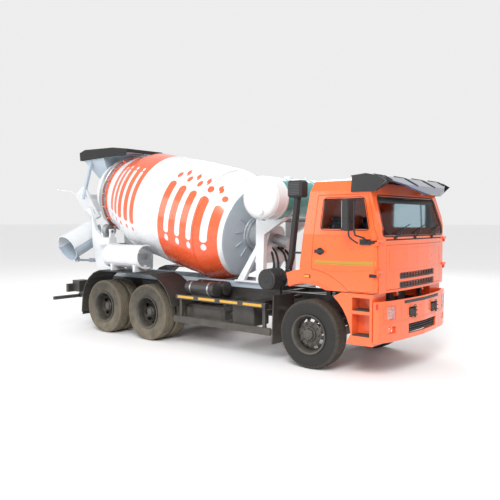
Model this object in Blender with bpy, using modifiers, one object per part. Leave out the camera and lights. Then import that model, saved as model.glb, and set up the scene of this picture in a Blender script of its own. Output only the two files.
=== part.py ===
"""A three-axle concrete mixer truck: one object for each sub-part, in metres, +Z up, +X forward.

The layout below counts x from the front axle. The last step moves the whole truck so that the
origin lies on the ground under the middle of its bounding box.
"""

import math

import bmesh
import bpy
from mathutils import Matrix, Vector

# ---------------------------------------------------------------- driving dimensions
GAP = 0.0003            # between faces that rest on each other
RUN = 0.006             # between pieces that move past each other
FIT = 0.0004            # between a pin and its hole, or a thrust face and its seat

WHEELBASE = 3.69        # front axle to middle axle
BOGIE_SPREAD = 1.32     # middle axle to rear axle
WHEEL_RADIUS = 0.54
TYRE_WIDTH = 0.29
RIM_RADIUS = 0.305
FRONT_WHEEL_Y = 1.022   # middle of the front tyre
TWIN_OUTER_Y = 1.105    # middle of the outer twin tyre
TWIN_INNER_Y = 0.785    # middle of the inner twin tyre
KINGPIN_Y = 0.88
TWIN_SHAFT = 0.062
SPINDLE = 0.045
WHEEL_STEPS = 24        # facets round a wheel

RAIL_Y = 0.43           # outer face of a frame rail
RAIL_TOP = 1.08
RAIL_DEPTH = 0.26
RAIL_FLANGE = 0.08
RAIL_WALL = 0.010
FRAME_FRONT = 1.16
FRAME_REAR = -6.25
SUBFRAME_DEPTH = 0.11
SUBFRAME_FRONT = -1.40
SUBFRAME_TOP = RAIL_TOP + GAP + SUBFRAME_DEPTH

MUDGUARD_RADIUS = 0.74
CAB_HALF_WIDTH = 1.22
CAB_FLOOR = 1.262       # underside of the cab shell
CAB_ROOF = 2.93
CAB_FRONT = 1.285       # middle of the front panel
CAB_WALL = 0.055
CAB_HINGE_X = 1.12
CAB_HINGE_Z = 1.195
DOOR_FRONT_X = 1.19     # door hinge line
ARCH_RADIUS = 0.80      # inner radius of the front wheel arch
BUMPER_TOP = 1.15
BUMPER_BOTTOM = 0.55
BUMPER_FRONT = 1.385

DRUM_FRONT = Vector((-2.05, 0.0, 2.10))   # middle of the drum's front head
DRUM_SLOPE = 13.0                         # degrees
DRUM_HEAD_RADIUS = 0.85
DRUM_RADIUS = 1.10
DRUM_MOUTH_RADIUS = 0.64
DRUM_LENGTH = 4.02
DRUM_CYLINDER = (0.52, 1.60)              # where the cylinder begins and ends along the axis
DRUM_SHOULDER = (2.74, 1.06)              # station and radius where the rear cone begins
DRUM_WALL = 0.014
TRACK_STATION = 3.62
TRACK_WIDTH = 0.10
TRACK_RADIUS = 0.86
ROLLER_RADIUS = 0.125
ROLLER_SHAFT = 0.032
ROLLER_ANGLE = 33.0                       # degrees to each side of straight down

TANK_CENTRE = Vector((-1.12, 0.0, 2.69))
TANK_RADIUS = 0.365
TANK_HALF_LENGTH = 1.10

CHUTE_POST_X = -6.76
CHUTE_PIN_Z = 1.73                        # height of the pin that the chute tilts on
CHUTE_REST_TURN = 90.0                    # degrees from straight back to the truck's right side
CHUTE_SLOPE = 26.0
CHUTE_LENGTH = 1.25
CHUTE_RADIUS = 0.30
CHUTE_WALL = 0.010
FUNNEL_BOTTOM = 2.30

COLOURS = {
    "orange": ((0.95, 0.13, 0.035), 0.35, 0.0),
    "white": ((0.85, 0.87, 0.88), 0.35, 0.0),
    "drum_white": ((0.86, 0.87, 0.88), 0.30, 0.0),
    "grey_blue": ((0.30, 0.38, 0.46), 0.45, 0.0),
    "teal": ((0.0, 0.28, 0.27), 0.35, 0.0),
    "chassis_black": ((0.012, 0.012, 0.014), 0.50, 0.0),
    "plastic_black": ((0.02, 0.02, 0.022), 0.55, 0.0),
    "rubber": ((0.02, 0.02, 0.02), 0.85, 0.0),
    "tyre": ((0.022, 0.021, 0.020), 0.90, 0.0),
    "steel": ((0.55, 0.56, 0.58), 0.35, 1.0),
    "cast_iron": ((0.10, 0.10, 0.11), 0.60, 0.6),
    "glass": ((0.30, 0.38, 0.45), 0.05, 0.0),
    "visor": ((0.02, 0.035, 0.10), 0.20, 0.0),
    "fabric": ((0.05, 0.055, 0.07), 0.90, 0.0),
    "interior": ((0.11, 0.11, 0.12), 0.70, 0.0),
}

Y, Z = Vector((0, 1, 0)), Vector((0, 0, 1))


# ---------------------------------------------------------------- scene set-up
def clear_scene():
    for old in list(bpy.data.objects):
        bpy.data.objects.remove(old, do_unlink=True)
    for old in list(bpy.data.collections):
        bpy.data.collections.remove(old)


clear_scene()
TRUCK = bpy.data.collections.new("concrete_mixer_truck")
WORKSHOP = bpy.data.collections.new("workshop")
bpy.context.scene.collection.children.link(TRUCK)
bpy.context.scene.collection.children.link(WORKSHOP)


def make_material(name):
    colour, roughness, metallic = COLOURS[name]
    mat = bpy.data.materials.new(name)
    mat.use_nodes = True
    shader = mat.node_tree.nodes["Principled BSDF"]
    shader.inputs["Base Color"].default_value = (*colour, 1.0)
    shader.inputs["Roughness"].default_value = roughness
    shader.inputs["Metallic"].default_value = metallic
    mat.diffuse_color = (*colour, 1.0)
    return mat


MATERIALS = {name: make_material(name) for name in COLOURS}


def evaluated_mesh(obj, face_out=False):
    """The object's mesh with its modifiers applied, in world space, with close points merged."""
    bpy.context.view_layer.update()
    depsgraph = bpy.context.evaluated_depsgraph_get()
    mesh = bpy.data.meshes.new_from_object(obj.evaluated_get(depsgraph), depsgraph=depsgraph)
    mesh.transform(obj.matrix_world)
    bm = bmesh.new()
    bm.from_mesh(mesh)
    bmesh.ops.remove_doubles(bm, verts=bm.verts, dist=1e-5)
    if face_out:
        bmesh.ops.recalc_face_normals(bm, faces=bm.faces)
    bm.to_mesh(mesh)
    bm.free()
    return mesh


def workpiece(data):
    obj = bpy.data.objects.new("workpiece", data)
    obj.display_type = "WIRE"
    obj.hide_render = True
    WORKSHOP.objects.link(obj)
    return obj


def settle(obj, face_out=False):
    """Replaces a workpiece by its finished mesh, with no modifiers and no transform."""
    made = workpiece(evaluated_mesh(obj, face_out))
    bpy.data.objects.remove(obj, do_unlink=True)
    return made


def mesh_piece(bm):
    mesh = bpy.data.meshes.new("piece")
    bmesh.ops.recalc_face_normals(bm, faces=bm.faces)
    bm.to_mesh(mesh)
    bm.free()
    return workpiece(mesh)


# ---------------------------------------------------------------- shapes
def running_bore(radius, sides=24):
    """The corner radius of a faceted hole in which a faceted shaft of this radius turns freely."""
    return radius / math.cos(math.pi / sides) + FIT


def block(low, high, bevel=0.0, segments=1):
    """A box between two corners, with its edges bevelled if asked."""
    low, high = Vector(low), Vector(high)
    size = high - low
    bm = bmesh.new()
    bmesh.ops.create_cube(bm, size=1.0, matrix=Matrix.Translation((low + high) / 2) @ Matrix.Diagonal((*size, 1)))
    obj = mesh_piece(bm)
    return rounded(obj, bevel, segments) if bevel else obj


def rounded(obj, width, segments=1, angle=30.0):
    mod = obj.modifiers.new("Bevel", "BEVEL")
    mod.width = width
    mod.segments = segments
    mod.limit_method = "ANGLE"
    mod.angle_limit = math.radians(angle)
    return settle(obj)


def turn_to(direction):
    """The rotation that takes +Z to a direction."""
    return Vector(direction).to_track_quat("Z", "Y").to_matrix().to_4x4()


def rod(start, end, radius, end_radius=None, sides=20):
    """A cylinder or cone from one point to another."""
    start, end = Vector(start), Vector(end)
    along = end - start
    place = Matrix.Translation((start + end) / 2) @ turn_to(along)
    bm = bmesh.new()
    bmesh.ops.create_cone(
        bm, cap_ends=True, segments=sides, radius1=radius,
        radius2=radius if end_radius is None else end_radius, depth=along.length, matrix=place,
    )
    return mesh_piece(bm)


def turned(profile, base, direction, steps=32, facet_down=False):
    """A solid of revolution: (radius, station) points that run down its outer side. facet_down
    turns it by half a facet, so that a wheel stands on a flat and not on a corner."""
    bm = bmesh.new()
    corners = [bm.verts.new((radius, 0.0, station)) for radius, station in profile]
    for first, second in zip(corners, corners[1:]):
        bm.edges.new((first, second))
    if profile[0][0] > 0 or profile[-1][0] > 0:
        bm.edges.new((corners[-1], corners[0]))
    mesh = bpy.data.meshes.new("profile")
    bm.to_mesh(mesh)
    bm.free()
    obj = workpiece(mesh)
    half_facet = Matrix.Rotation(math.pi / steps if facet_down else 0.0, 4, "Z")
    obj.matrix_world = Matrix.Translation(Vector(base)) @ turn_to(direction) @ half_facet
    screw = obj.modifiers.new("Screw", "SCREW")
    screw.steps = steps
    screw.render_steps = steps
    screw.use_merge_vertices = True
    screw.merge_threshold = 0.0001
    return settle(obj, face_out=True)


def tube(points, radius, resolution=1, cyclic=False):
    """A round bar along a path."""
    curve = bpy.data.curves.new("tube", "CURVE")
    curve.dimensions = "3D"
    curve.bevel_depth = radius
    curve.bevel_resolution = resolution
    curve.use_fill_caps = True
    spline = curve.splines.new("POLY")
    spline.points.add(len(points) - 1)
    for point, place in zip(spline.points, points):
        point.co = (*place, 1.0)
    spline.use_cyclic_u = cyclic
    return settle(workpiece(curve))


def outline(points, low, high, axis):
    """A flat outline made solid between two values along an axis: "x" takes (y, z) points,
    "y" takes (x, z) points and "z" takes (x, y) points."""
    curve = bpy.data.curves.new("outline", "CURVE")
    curve.dimensions = "2D"
    curve.fill_mode = "BOTH"
    curve.extrude = (high - low) / 2
    spline = curve.splines.new("POLY")
    spline.points.add(len(points) - 1)
    for point, (first, second) in zip(spline.points, points):
        point.co = (first, second, 0.0, 1.0)
    spline.use_cyclic_u = True
    obj = workpiece(curve)
    middle = (low + high) / 2
    frames = {
        "x": Matrix(((0, 0, 1, middle), (1, 0, 0, 0), (0, 1, 0, 0), (0, 0, 0, 1))),
        "y": Matrix(((1, 0, 0, 0), (0, 0, -1, middle), (0, 1, 0, 0), (0, 0, 0, 1))),
        "z": Matrix.Translation((0, 0, middle)),
    }
    obj.matrix_world = frames[axis]
    return settle(obj, face_out=True)


def arc(centre, radius, start, end, steps):
    """Points on a circle from one angle to another, in degrees."""
    angles = [math.radians(start + (end - start) * i / steps) for i in range(steps + 1)]
    return [(centre[0] + radius * math.cos(a), centre[1] + radius * math.sin(a)) for a in angles]


def boolean(operation, first, others):
    for other in others:
        mod = first.modifiers.new("Boolean", "BOOLEAN")
        mod.operation = operation
        mod.solver = "EXACT"
        mod.object = other
    made = settle(first)
    for other in others:
        bpy.data.objects.remove(other, do_unlink=True)
    return made


def fuse(first, *others):
    return boolean("UNION", first, others)


def cut(first, *others):
    return boolean("DIFFERENCE", first, others)


def common(first, *others):
    return boolean("INTERSECT", first, others)


def copy(obj, transform=None):
    made = workpiece(obj.data.copy())
    if transform is not None:
        made.data.transform(transform)
        if transform.determinant() < 0:
            made.data.flip_normals()
    return made


def mirrored(obj):
    """A copy on the other side of the truck's middle plane."""
    return copy(obj, Matrix.Diagonal((1, -1, 1, 1)))


# ---------------------------------------------------------------- nodes and pivots
ORIGIN = bpy.data.objects.new("truck_origin", None)
TRUCK.objects.link(ORIGIN)


def pivot(name, location, axis=Z, parent=None):
    """An empty on a joint's axis, with its own +Z along that axis."""
    empty = bpy.data.objects.new(name, None)
    TRUCK.objects.link(empty)
    empty.empty_display_size = 0.15
    parent = parent or ORIGIN
    world = Matrix.Translation(Vector(location)) @ turn_to(axis)
    empty.parent = parent
    bpy.context.view_layer.update()
    empty.matrix_basis = parent.matrix_world.inverted() @ world
    bpy.context.view_layer.update()
    return empty


def node(name, obj, material, parent=None):
    """Makes a workpiece a named sub-part that is carried by a pivot or by the truck's origin."""
    parent = parent or ORIGIN
    bpy.context.view_layer.update()
    obj.name = name
    obj.data.name = name
    WORKSHOP.objects.unlink(obj)
    TRUCK.objects.link(obj)
    obj.data.transform(parent.matrix_world.inverted())
    obj.parent = parent
    obj.hide_render = False
    obj.display_type = "TEXTURED"
    obj.data.materials.clear()
    obj.data.materials.append(MATERIALS[material])
    obj.data.shade_smooth()
    obj.data.set_sharp_from_angle(angle=math.radians(30))
    return obj


# ---------------------------------------------------------------- chassis
def channel_rail(side):
    """A frame rail: a channel section, open towards the middle."""
    face, inner = side * RAIL_Y, side * (RAIL_Y - RAIL_FLANGE)
    web = side * (RAIL_Y - RAIL_WALL)
    bottom = RAIL_TOP - RAIL_DEPTH
    section = [
        (face, bottom), (face, RAIL_TOP), (inner, RAIL_TOP), (inner, RAIL_TOP - RAIL_WALL),
        (web, RAIL_TOP - RAIL_WALL), (web, bottom + RAIL_WALL), (inner, bottom + RAIL_WALL), (inner, bottom),
    ]
    return outline(section, FRAME_REAR, FRAME_FRONT, "x")


def tow_fork(side):
    """The towing fork on the end of a rail, with its pin hole."""
    y = side * (RAIL_Y - 0.04)
    arm = block((FRAME_FRONT - 0.12, y - 0.035, 0.90), (BUMPER_FRONT - 0.06, y + 0.035, 0.98))
    eye = rod((BUMPER_FRONT - 0.045, y, 0.885), (BUMPER_FRONT - 0.045, y, 0.995), 0.075)
    hole = rod((BUMPER_FRONT - 0.03, y, 0.8), (BUMPER_FRONT - 0.03, y, 1.1), 0.03, sides=12)
    return cut(fuse(arm, eye), hole)


def build_frame():
    members = [(1.06, 0.86, 0.95), (-1.10, 1.00, 1.06), (FRAME_REAR + 0.05, 0.86, 1.04)]
    members += [(x, 0.88, 1.04) for x in (-2.20, -3.20, -4.35, -5.60)]
    pieces = [channel_rail(1), tow_fork(1), tow_fork(-1)]
    reach = RAIL_Y - RAIL_WALL / 2
    for x, low, high in members:
        pieces.append(block((x - 0.04, -reach, low), (x + 0.04, reach, high)))
    for side in (1, -1):
        y = sorted((side * 0.37, side * RAIL_Y))
        pieces.append(block((CAB_HINGE_X - 0.035, y[0], RAIL_TOP - 0.02), (CAB_HINGE_X + 0.02, y[1], CAB_HINGE_Z)))
        pieces.append(rod((CAB_HINGE_X, y[0], CAB_HINGE_Z), (CAB_HINGE_X, y[1], CAB_HINGE_Z), 0.032, sides=16))
        pieces.append(block((-0.13, y[0], RAIL_TOP - 0.02), (-0.05, y[1], CAB_FLOOR - GAP)))
    node("chassis_frame", fuse(channel_rail(-1), *pieces), "chassis_black")


def build_bumper():
    """The front bumper: a shell that curves round the front, with lamp and towing openings."""
    half = CAB_HALF_WIDTH
    bend = [(1.13, -half), (1.22, -half + 0.02), (1.30, -half + 0.28), (1.355, -0.5), (BUMPER_FRONT, 0.0)]
    front = bend + [(x, -y) for x, y in reversed(bend[:-1])]
    wall = 0.045
    back = [(x - wall, y * (1 - wall / half)) for x, y in front]
    back[0], back[-1] = (1.13, -half + wall), (1.13, half - wall)
    shell = outline(front + list(reversed(back)), BUMPER_BOTTOM, BUMPER_TOP, "z")
    shell = rounded(shell, 0.012, 1, 50)
    low_slot = [block((1.1, -0.50, 0.625), (1.5, 0.50, 0.77))]
    for side in (1, -1):
        y = side * (RAIL_Y - 0.04)
        low_slot.append(block((1.1, y - 0.11, 0.865), (1.5, y + 0.11, 1.015)))
        lamp = sorted((side * 0.86, side * 1.10))
        low_slot.append(block((1.27, lamp[0], 0.88), (1.5, lamp[1], 1.07)))
        fog = sorted((side * 0.84, side * 1.02))
        low_slot.append(block((1.27, fog[0], 0.675), (1.5, fog[1], 0.775)))
    brackets = []
    for side in (1, -1):
        y = sorted((side * (RAIL_Y + GAP), side * (RAIL_Y + 0.06)))
        brackets.append(block((1.02, y[0], 1.005), (1.345, y[1], 1.06)))
    node("front_bumper", fuse(cut(shell, *low_slot), *brackets), "orange")


def build_steps():
    """The step boxes below the doors, whose rear edge continues the wheel arch."""
    base = [(1.125, 0.50), (1.125, CAB_FLOOR - 0.012), (0.62, CAB_FLOOR - 0.012)]
    arch = arc((0.0, WHEEL_RADIUS), ARCH_RADIUS, 62, 8, 6)
    profile = base + [(x * 0.96 + 0.02, z) for x, z in arch[1:]] + [(0.70, 0.50)]
    inner, outer = 0.80, CAB_HALF_WIDTH
    box = outline(profile, -outer, -inner, "y")
    hollows = [
        block((0.80, -outer - 0.1, 1.00), (1.085, -outer + 0.22, 1.19)),
        block((0.80, -outer - 0.1, 0.63), (1.085, -outer + 0.20, 0.95)),
    ]
    stay = block((0.90, -inner - 0.01, 0.90), (1.00, -RAIL_Y - GAP, 1.02))
    right = fuse(cut(box, *hollows), stay)
    node("step_left", mirrored(right), "orange")
    node("step_right", right, "orange")


def spring_pack(x, y, length, height, leaves=4, camber=0.07, end_z=0.0):
    """A leaf spring: stacked leaves that bow upwards towards their ends."""
    thickness, width = 0.022, 0.09
    top, bottom = [], []
    for i in range(9):
        u = i / 4 - 1
        rise = camber * u * u + end_z
        top.append((x + u * length / 2, height + rise))
        bottom.append((x + u * length / 2, height + rise - thickness * max(1.0, leaves * (1 - abs(u)) + 1)))
    return outline(top + list(reversed(bottom)), y - width / 2, y + width / 2, "y")


def build_front_axle():
    beam = outline(
        [(-KINGPIN_Y, 0.505), (-KINGPIN_Y, 0.595), (-0.62, 0.595), (-0.40, 0.50), (0.40, 0.50), (0.62, 0.595),
         (KINGPIN_Y, 0.595), (KINGPIN_Y, 0.505), (0.66, 0.505), (0.42, 0.39), (-0.42, 0.39), (-0.66, 0.505)],
        -0.05, 0.05, "x",
    )
    pieces = []
    for side in (1, -1):
        pieces.append(rod((0, side * KINGPIN_Y, 0.50), (0, side * KINGPIN_Y, 0.60), 0.055, sides=16))
        y = side * 0.39
        pieces.append(block((-0.09, y - 0.06, 0.45), (0.09, y + 0.06, 0.62)))
        pieces.append(spring_pack(0.0, y, 1.56, 0.70, camber=0.055))
        for x in (-0.76, 0.76):
            pieces.append(block((x - 0.05, y - 0.05, 0.70), (x + 0.05, y + 0.035, RAIL_TOP - RAIL_DEPTH - GAP)))
    node("front_axle", fuse(beam, *pieces), "chassis_black")


def drive_axle(x):
    housing = turned(
        [(0.0, 0.70), (0.085, 0.70), (0.095, 0.40), (0.13, 0.25), (0.24, 0.10), (0.24, -0.10), (0.13, -0.25),
         (0.095, -0.40), (0.085, -0.70), (0.0, -0.70)],
        (x, 0, WHEEL_RADIUS), Y, steps=20,
    )
    seats = [block((x - 0.04, y - 0.05, WHEEL_RADIUS), (x + 0.04, y + 0.05, 0.6911)) for y in (-0.52, 0.52)]
    nose = rod((x, 0, WHEEL_RADIUS + 0.03), (x + 0.36, 0, WHEEL_RADIUS + 0.10), 0.14, 0.09, sides=16)
    return [housing, nose, *seats]


def twin_stub(x):
    """The axle ends that carry the twin wheels."""
    return rod((x, -1.0, WHEEL_RADIUS), (x, 1.0, WHEEL_RADIUS), TWIN_SHAFT, sides=WHEEL_STEPS)


def build_rear_axles():
    middle, rear = -WHEELBASE, -WHEELBASE - BOGIE_SPREAD
    shaft = rod((-1.02, 0, 0.897), (middle + 0.36, 0, 0.655), 0.055, sides=14)
    joint = rod((-0.95 - GAP, 0, 0.897), (-1.10, 0, 0.897), 0.085, sides=14)
    node("middle_axle", fuse(*drive_axle(middle), twin_stub(middle), shaft, joint), "chassis_black")
    node("rear_axle", fuse(*drive_axle(rear), twin_stub(rear)), "chassis_black")


def build_bogie_springs():
    """The springs that rest on both drive axles and rock on one cross shaft."""
    centre = -WHEELBASE - BOGIE_SPREAD / 2
    pieces = []
    for side in (1, -1):
        y = side * 0.52
        pieces.append(spring_pack(centre, y, BOGIE_SPREAD + 0.12, 0.68, leaves=5, camber=0.065))
        pieces.append(block((centre - 0.16, y - 0.075, 0.46), (centre + 0.16, y + 0.075, 0.70), 0.02))
        pad = sorted((side * (RAIL_Y + GAP), side * (RAIL_Y + 0.11)))
        pieces.append(outline([(centre - 0.26, 1.04), (centre + 0.26, 1.04), (centre + 0.10, 0.50),
                               (centre - 0.10, 0.50)], pad[0], pad[1], "y"))
    shaft = rod((centre, -0.55, 0.53), (centre, 0.55, 0.53), 0.055, sides=16)
    node("bogie_springs", fuse(shaft, *pieces), "chassis_black")


def build_drivetrain():
    engine = block((-0.05, -0.33, 0.70), (0.93, 0.33, 1.235), 0.05)
    gearbox = rod((-0.02, 0, 0.897), (-0.95, 0, 0.897), 0.20, 0.13, sides=16)
    mounts = [block((x - 0.05, -RAIL_Y + RAIL_WALL + GAP, 0.90), (x + 0.05, RAIL_Y - RAIL_WALL - GAP, 0.97))
              for x in (0.20, 0.72)]
    node("engine", fuse(engine, gearbox, *mounts), "cast_iron")


# ---------------------------------------------------------------- wheels
def tyre_profile(middle, width):
    """(radius, station) points of a tyre's outer side, from the outside rim seat to the inside one."""
    half = width / 2
    tread = WHEEL_RADIUS / math.cos(math.pi / WHEEL_STEPS)
    return [
        (RIM_RADIUS + 0.01, middle + half - 0.035), (RIM_RADIUS + 0.11, middle + half),
        (tread - 0.05, middle + half - 0.014), (tread, middle + half - 0.055),
        (tread, middle - half + 0.055), (tread - 0.05, middle - half + 0.014),
        (RIM_RADIUS + 0.11, middle - half), (RIM_RADIUS + 0.01, middle - half + 0.035),
    ]


def build_front_wheels(knuckles):
    """Front wheels, on hubs that turn about the knuckle spindles."""
    bore = running_bore(SPINDLE)
    for name, side in (("right", -1), ("left", 1)):
        centre = Vector((0, side * FRONT_WHEEL_Y, WHEEL_RADIUS))
        spin = pivot("front_spin_" + name, centre, Y * side, knuckles[name])
        seat = RIM_RADIUS - 0.012
        half = TYRE_WIDTH / 2
        tyre = turned(tyre_profile(0.0, TYRE_WIDTH) + [(seat, -half + 0.035), (seat, half - 0.035)],
                      centre, Y * side, WHEEL_STEPS, facet_down=True)
        rim = turned(
            [(0.0, 0.165), (0.10, 0.165), (0.115, 0.10), (0.21, 0.085), (0.262, 0.02), (0.278, half - 0.02),
             (seat - 0.0145, half - 0.02), (seat + 0.01, half - 0.036), (seat + 0.01, -half + 0.036),
             (seat - 0.0145, -half + 0.02), (0.270, -half + 0.02), (0.245, 0.0), (0.20, 0.04), (0.11, 0.02),
             (0.11, -0.01), (bore, -0.01), (bore, 0.12), (0.0, 0.12)],
            centre, Y * side, WHEEL_STEPS, facet_down=True,
        )
        node("front_wheel_" + name, fuse(tyre, rim), "tyre", spin)


def build_twin_wheels():
    """Twin tyres on one deep rim: one body for each end of each drive axle."""
    middle = (TWIN_OUTER_Y + TWIN_INNER_Y) / 2
    apart = (TWIN_OUTER_Y - TWIN_INNER_Y) / 2
    bore = running_bore(TWIN_SHAFT)
    outer, inner = tyre_profile(apart, TYRE_WIDTH - 0.012), tyre_profile(-apart, TYRE_WIDTH - 0.012)
    edge = apart + TYRE_WIDTH / 2 - 0.03
    section = (
        [(0.0, 0.215), (0.09, 0.215), (0.11, 0.03), (0.22, 0.025), (0.272, edge)] + outer
        + [(RIM_RADIUS - 0.01, 0.0)] + inner + [(0.272, -edge), (0.22, -0.02), (0.11, -0.12), (bore, -0.12),
                                                (bore, 0.075), (0.0, 0.075)]
    )
    for row, x in (("middle", -WHEELBASE), ("rear", -WHEELBASE - BOGIE_SPREAD)):
        for name, side in (("right", -1), ("left", 1)):
            centre = (x, side * middle, WHEEL_RADIUS)
            spin = pivot(f"{row}_spin_{name}", centre, Y * side)
            node(f"{row}_wheels_{name}", turned(section, centre, Y * side, WHEEL_STEPS, True), "tyre", spin)


def build_knuckles():
    """Steering knuckles: a kingpin post on each beam end, with the spindle that carries the wheel."""
    found = {}
    for name, side in (("right", -1), ("left", 1)):
        place = Vector((0, side * KINGPIN_Y, WHEEL_RADIUS))
        turn = pivot("kingpin_" + name, place, Z)
        y = sorted((side * (KINGPIN_Y + 0.062), side * (KINGPIN_Y + 0.095)))
        body = block((-0.06, y[0], 0.445), (0.06, y[1], 0.655))
        forks = []
        for low, high in ((0.44, 0.50 - FIT), (0.60 + FIT, 0.66)):
            forks.append(rod((0, place.y, low), (0, place.y, high), 0.06, sides=16))
            reach = sorted((place.y, side * (KINGPIN_Y + 0.09)))
            forks.append(block((-0.05, reach[0], low), (0.05, reach[1], high)))
        spindle = rod((0, side * (KINGPIN_Y + 0.07), WHEEL_RADIUS), (0, side * (FRONT_WHEEL_Y + 0.10), WHEEL_RADIUS),
                      SPINDLE, sides=WHEEL_STEPS)
        hub = rod((0, side * (KINGPIN_Y + 0.07), WHEEL_RADIUS), (0, side * (FRONT_WHEEL_Y - 0.01 - FIT), WHEEL_RADIUS),
                  0.085, sides=WHEEL_STEPS)
        node("knuckle_" + name, fuse(body, spindle, hub, *forks), "chassis_black", turn)
        found[name] = turn
    return found


build_frame()
build_bumper()
build_steps()
build_front_axle()
build_rear_axles()
build_bogie_springs()
build_drivetrain()
build_front_wheels(build_knuckles())
build_twin_wheels()


# ---------------------------------------------------------------- chassis equipment
def drum(radius, low, high):
    """A closed vessel with slightly domed ends, lying along the line from low to high."""
    low, high = Vector(low), Vector(high)
    length = (high - low).length
    dome = radius * 0.16
    profile = [(0.0, length), (radius * 0.6, length - dome * 0.3), (radius, length - dome), (radius, dome),
               (radius * 0.6, dome * 0.3), (0.0, 0.0)]
    return turned(profile, low, high - low, steps=24)


def rail_bracket(x, side, reach, low, high, width=0.05):
    """A bracket that stands off a rail's outer face."""
    y = sorted((side * (RAIL_Y + GAP), side * reach))
    return block((x - width / 2, y[0], low), (x + width / 2, y[1], high))


def build_tanks():
    fuel = block((-2.30, 0.56, 0.50), (-1.30, 1.14, 1.06), 0.09, 2)
    straps = [block((x - 0.03, 0.545, 0.485), (x + 0.03, 1.155, 1.075), 0.09) for x in (-2.08, -1.52)]
    brackets = [rail_bracket(x, 1, 0.60, 0.84, 1.02) for x in (-2.08, -1.52)]
    node("fuel_tank", fuse(fuel, *straps, *brackets), "chassis_black")

    tanks = [drum(0.13, (-2.87, -0.90, 1.06), (-2.13, -0.90, 1.06)), drum(0.13, (-2.87, -0.62, 1.06), (-2.13, -0.62, 1.06))]
    rest = block((-2.75, -0.95, 0.87), (-2.25, -RAIL_Y - GAP, 0.955))
    node("air_tanks", fuse(rest, *tanks), "chassis_black")

    body = block((-2.85, -1.02, 0.48), (-1.90, -0.66, 0.76), 0.06)
    pipe = tube([(-1.95, -0.84, 0.62), (-1.80, -0.56, 0.66), (-0.62, -0.52, 0.70)], 0.045)
    hangers = [block((x - 0.03, -0.80, 0.70), (x + 0.03, -RAIL_Y - GAP, 0.865)) for x in (-2.65, -2.05)]
    node("exhaust_silencer", fuse(body, pipe, *hangers), "chassis_black")

    case = block((-1.62, -1.10, 0.52), (-1.14, -0.66, 0.88), 0.02)
    holder = rail_bracket(-1.38, -1, 0.68, 0.84, 0.90, 0.30)
    node("battery_box", fuse(case, holder), "plastic_black")


INTAKE_JOINT = (-0.50, -1.00, 1.50)


def build_air_intake():
    """The air cleaner canister, whose neck meets the snorkel on the cab."""
    canister = turned(
        [(0.0, 0.40), (0.15, 0.40), (0.175, 0.38), (0.175, 0.04), (0.15, 0.0), (0.0, 0.0)],
        (-0.805, -0.80, 1.345), -Y, steps=24,
    )
    post = block((-0.86, -0.86, 1.00), (-0.75, -RAIL_Y - GAP, 1.06))
    upright = block((-0.86, -0.88, 1.00), (-0.75, -0.82, 1.22))
    neck = tube([(-0.80, -0.95, 1.36), (-0.62, -0.95, 1.37), (-0.52, -0.99, 1.43), INTAKE_JOINT], 0.055)
    node("air_cleaner", fuse(canister, post, upright, neck), "plastic_black")


def build_side_guards():
    """Two long bars on end posts and arms, on each side between the axles, with the front wheel's mudflap."""
    top = outline([(-1.215, 0.875), (-1.215, 0.955), (-1.175, 0.955), (-1.175, 0.875)], -2.89, -0.81, "x")
    bottom = outline([(-1.215, 0.44), (-1.215, 0.56), (-1.175, 0.56), (-1.175, 0.44)], -2.95, -0.71, "x")
    pieces = [bottom]
    for x in (-2.80, -0.86):
        pieces.append(block((x - 0.03, -1.18, 0.45), (x + 0.03, -1.14, 0.95)))
        pieces.append(block((x - 0.03, -1.15, 0.78), (x + 0.03, -RAIL_Y - GAP, 0.835)))
    pieces.append(outline([(-0.695, 0.30), (-0.675, 0.30), (-0.645, 1.10), (-0.665, 1.10)], -1.19, -0.62, "y"))
    pieces.append(block((-0.72, -1.195, 0.46), (-0.675, -1.16, 0.54)))
    pieces.append(block((-0.668, -0.66, 1.00), (-0.62, -RAIL_Y - GAP, 1.05)))
    guard = fuse(top, *pieces)
    node("side_guard_left", mirrored(guard), "chassis_black")
    node("side_guard_right", guard, "chassis_black")


def build_rear_mudguards():
    """One long guard over both drive wheels, with quarter arches and a rear flap."""
    thick = 0.02
    rear_x, front_x = -WHEELBASE - BOGIE_SPREAD, -WHEELBASE
    radius = MUDGUARD_RADIUS
    rear = arc((rear_x, WHEEL_RADIUS + 0.02), radius, 180, 100, 5)
    front = arc((front_x, WHEEL_RADIUS + 0.02), radius, 80, 12, 5)
    outer = [(rear_x - radius - thick, 0.36)] + rear + front
    inner_rear = arc((rear_x, WHEEL_RADIUS + 0.02), radius - thick, 180, 100, 5)
    inner_front = arc((front_x, WHEEL_RADIUS + 0.02), radius - thick, 80, 12, 5)
    inner = [(rear_x - radius, 0.36)] + inner_rear[1:] + inner_front
    guard = outline(outer + list(reversed(inner)), -1.25, -0.60, "y")
    stays = [block((x - 0.03, -0.62, 0.81), (x + 0.03, -RAIL_Y - GAP, 0.86)) for x in (rear_x - 0.70, front_x + 0.70)]
    deck_stays = [block((x - 0.04, -0.64, 1.262), (x + 0.04, -RAIL_Y - 0.001, 1.272)) for x in (rear_x + 0.1, front_x - 0.1)]
    guard = fuse(guard, *stays, *deck_stays)
    node("rear_mudguard_left", mirrored(guard), "plastic_black")
    node("rear_mudguard_right", guard, "plastic_black")


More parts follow.
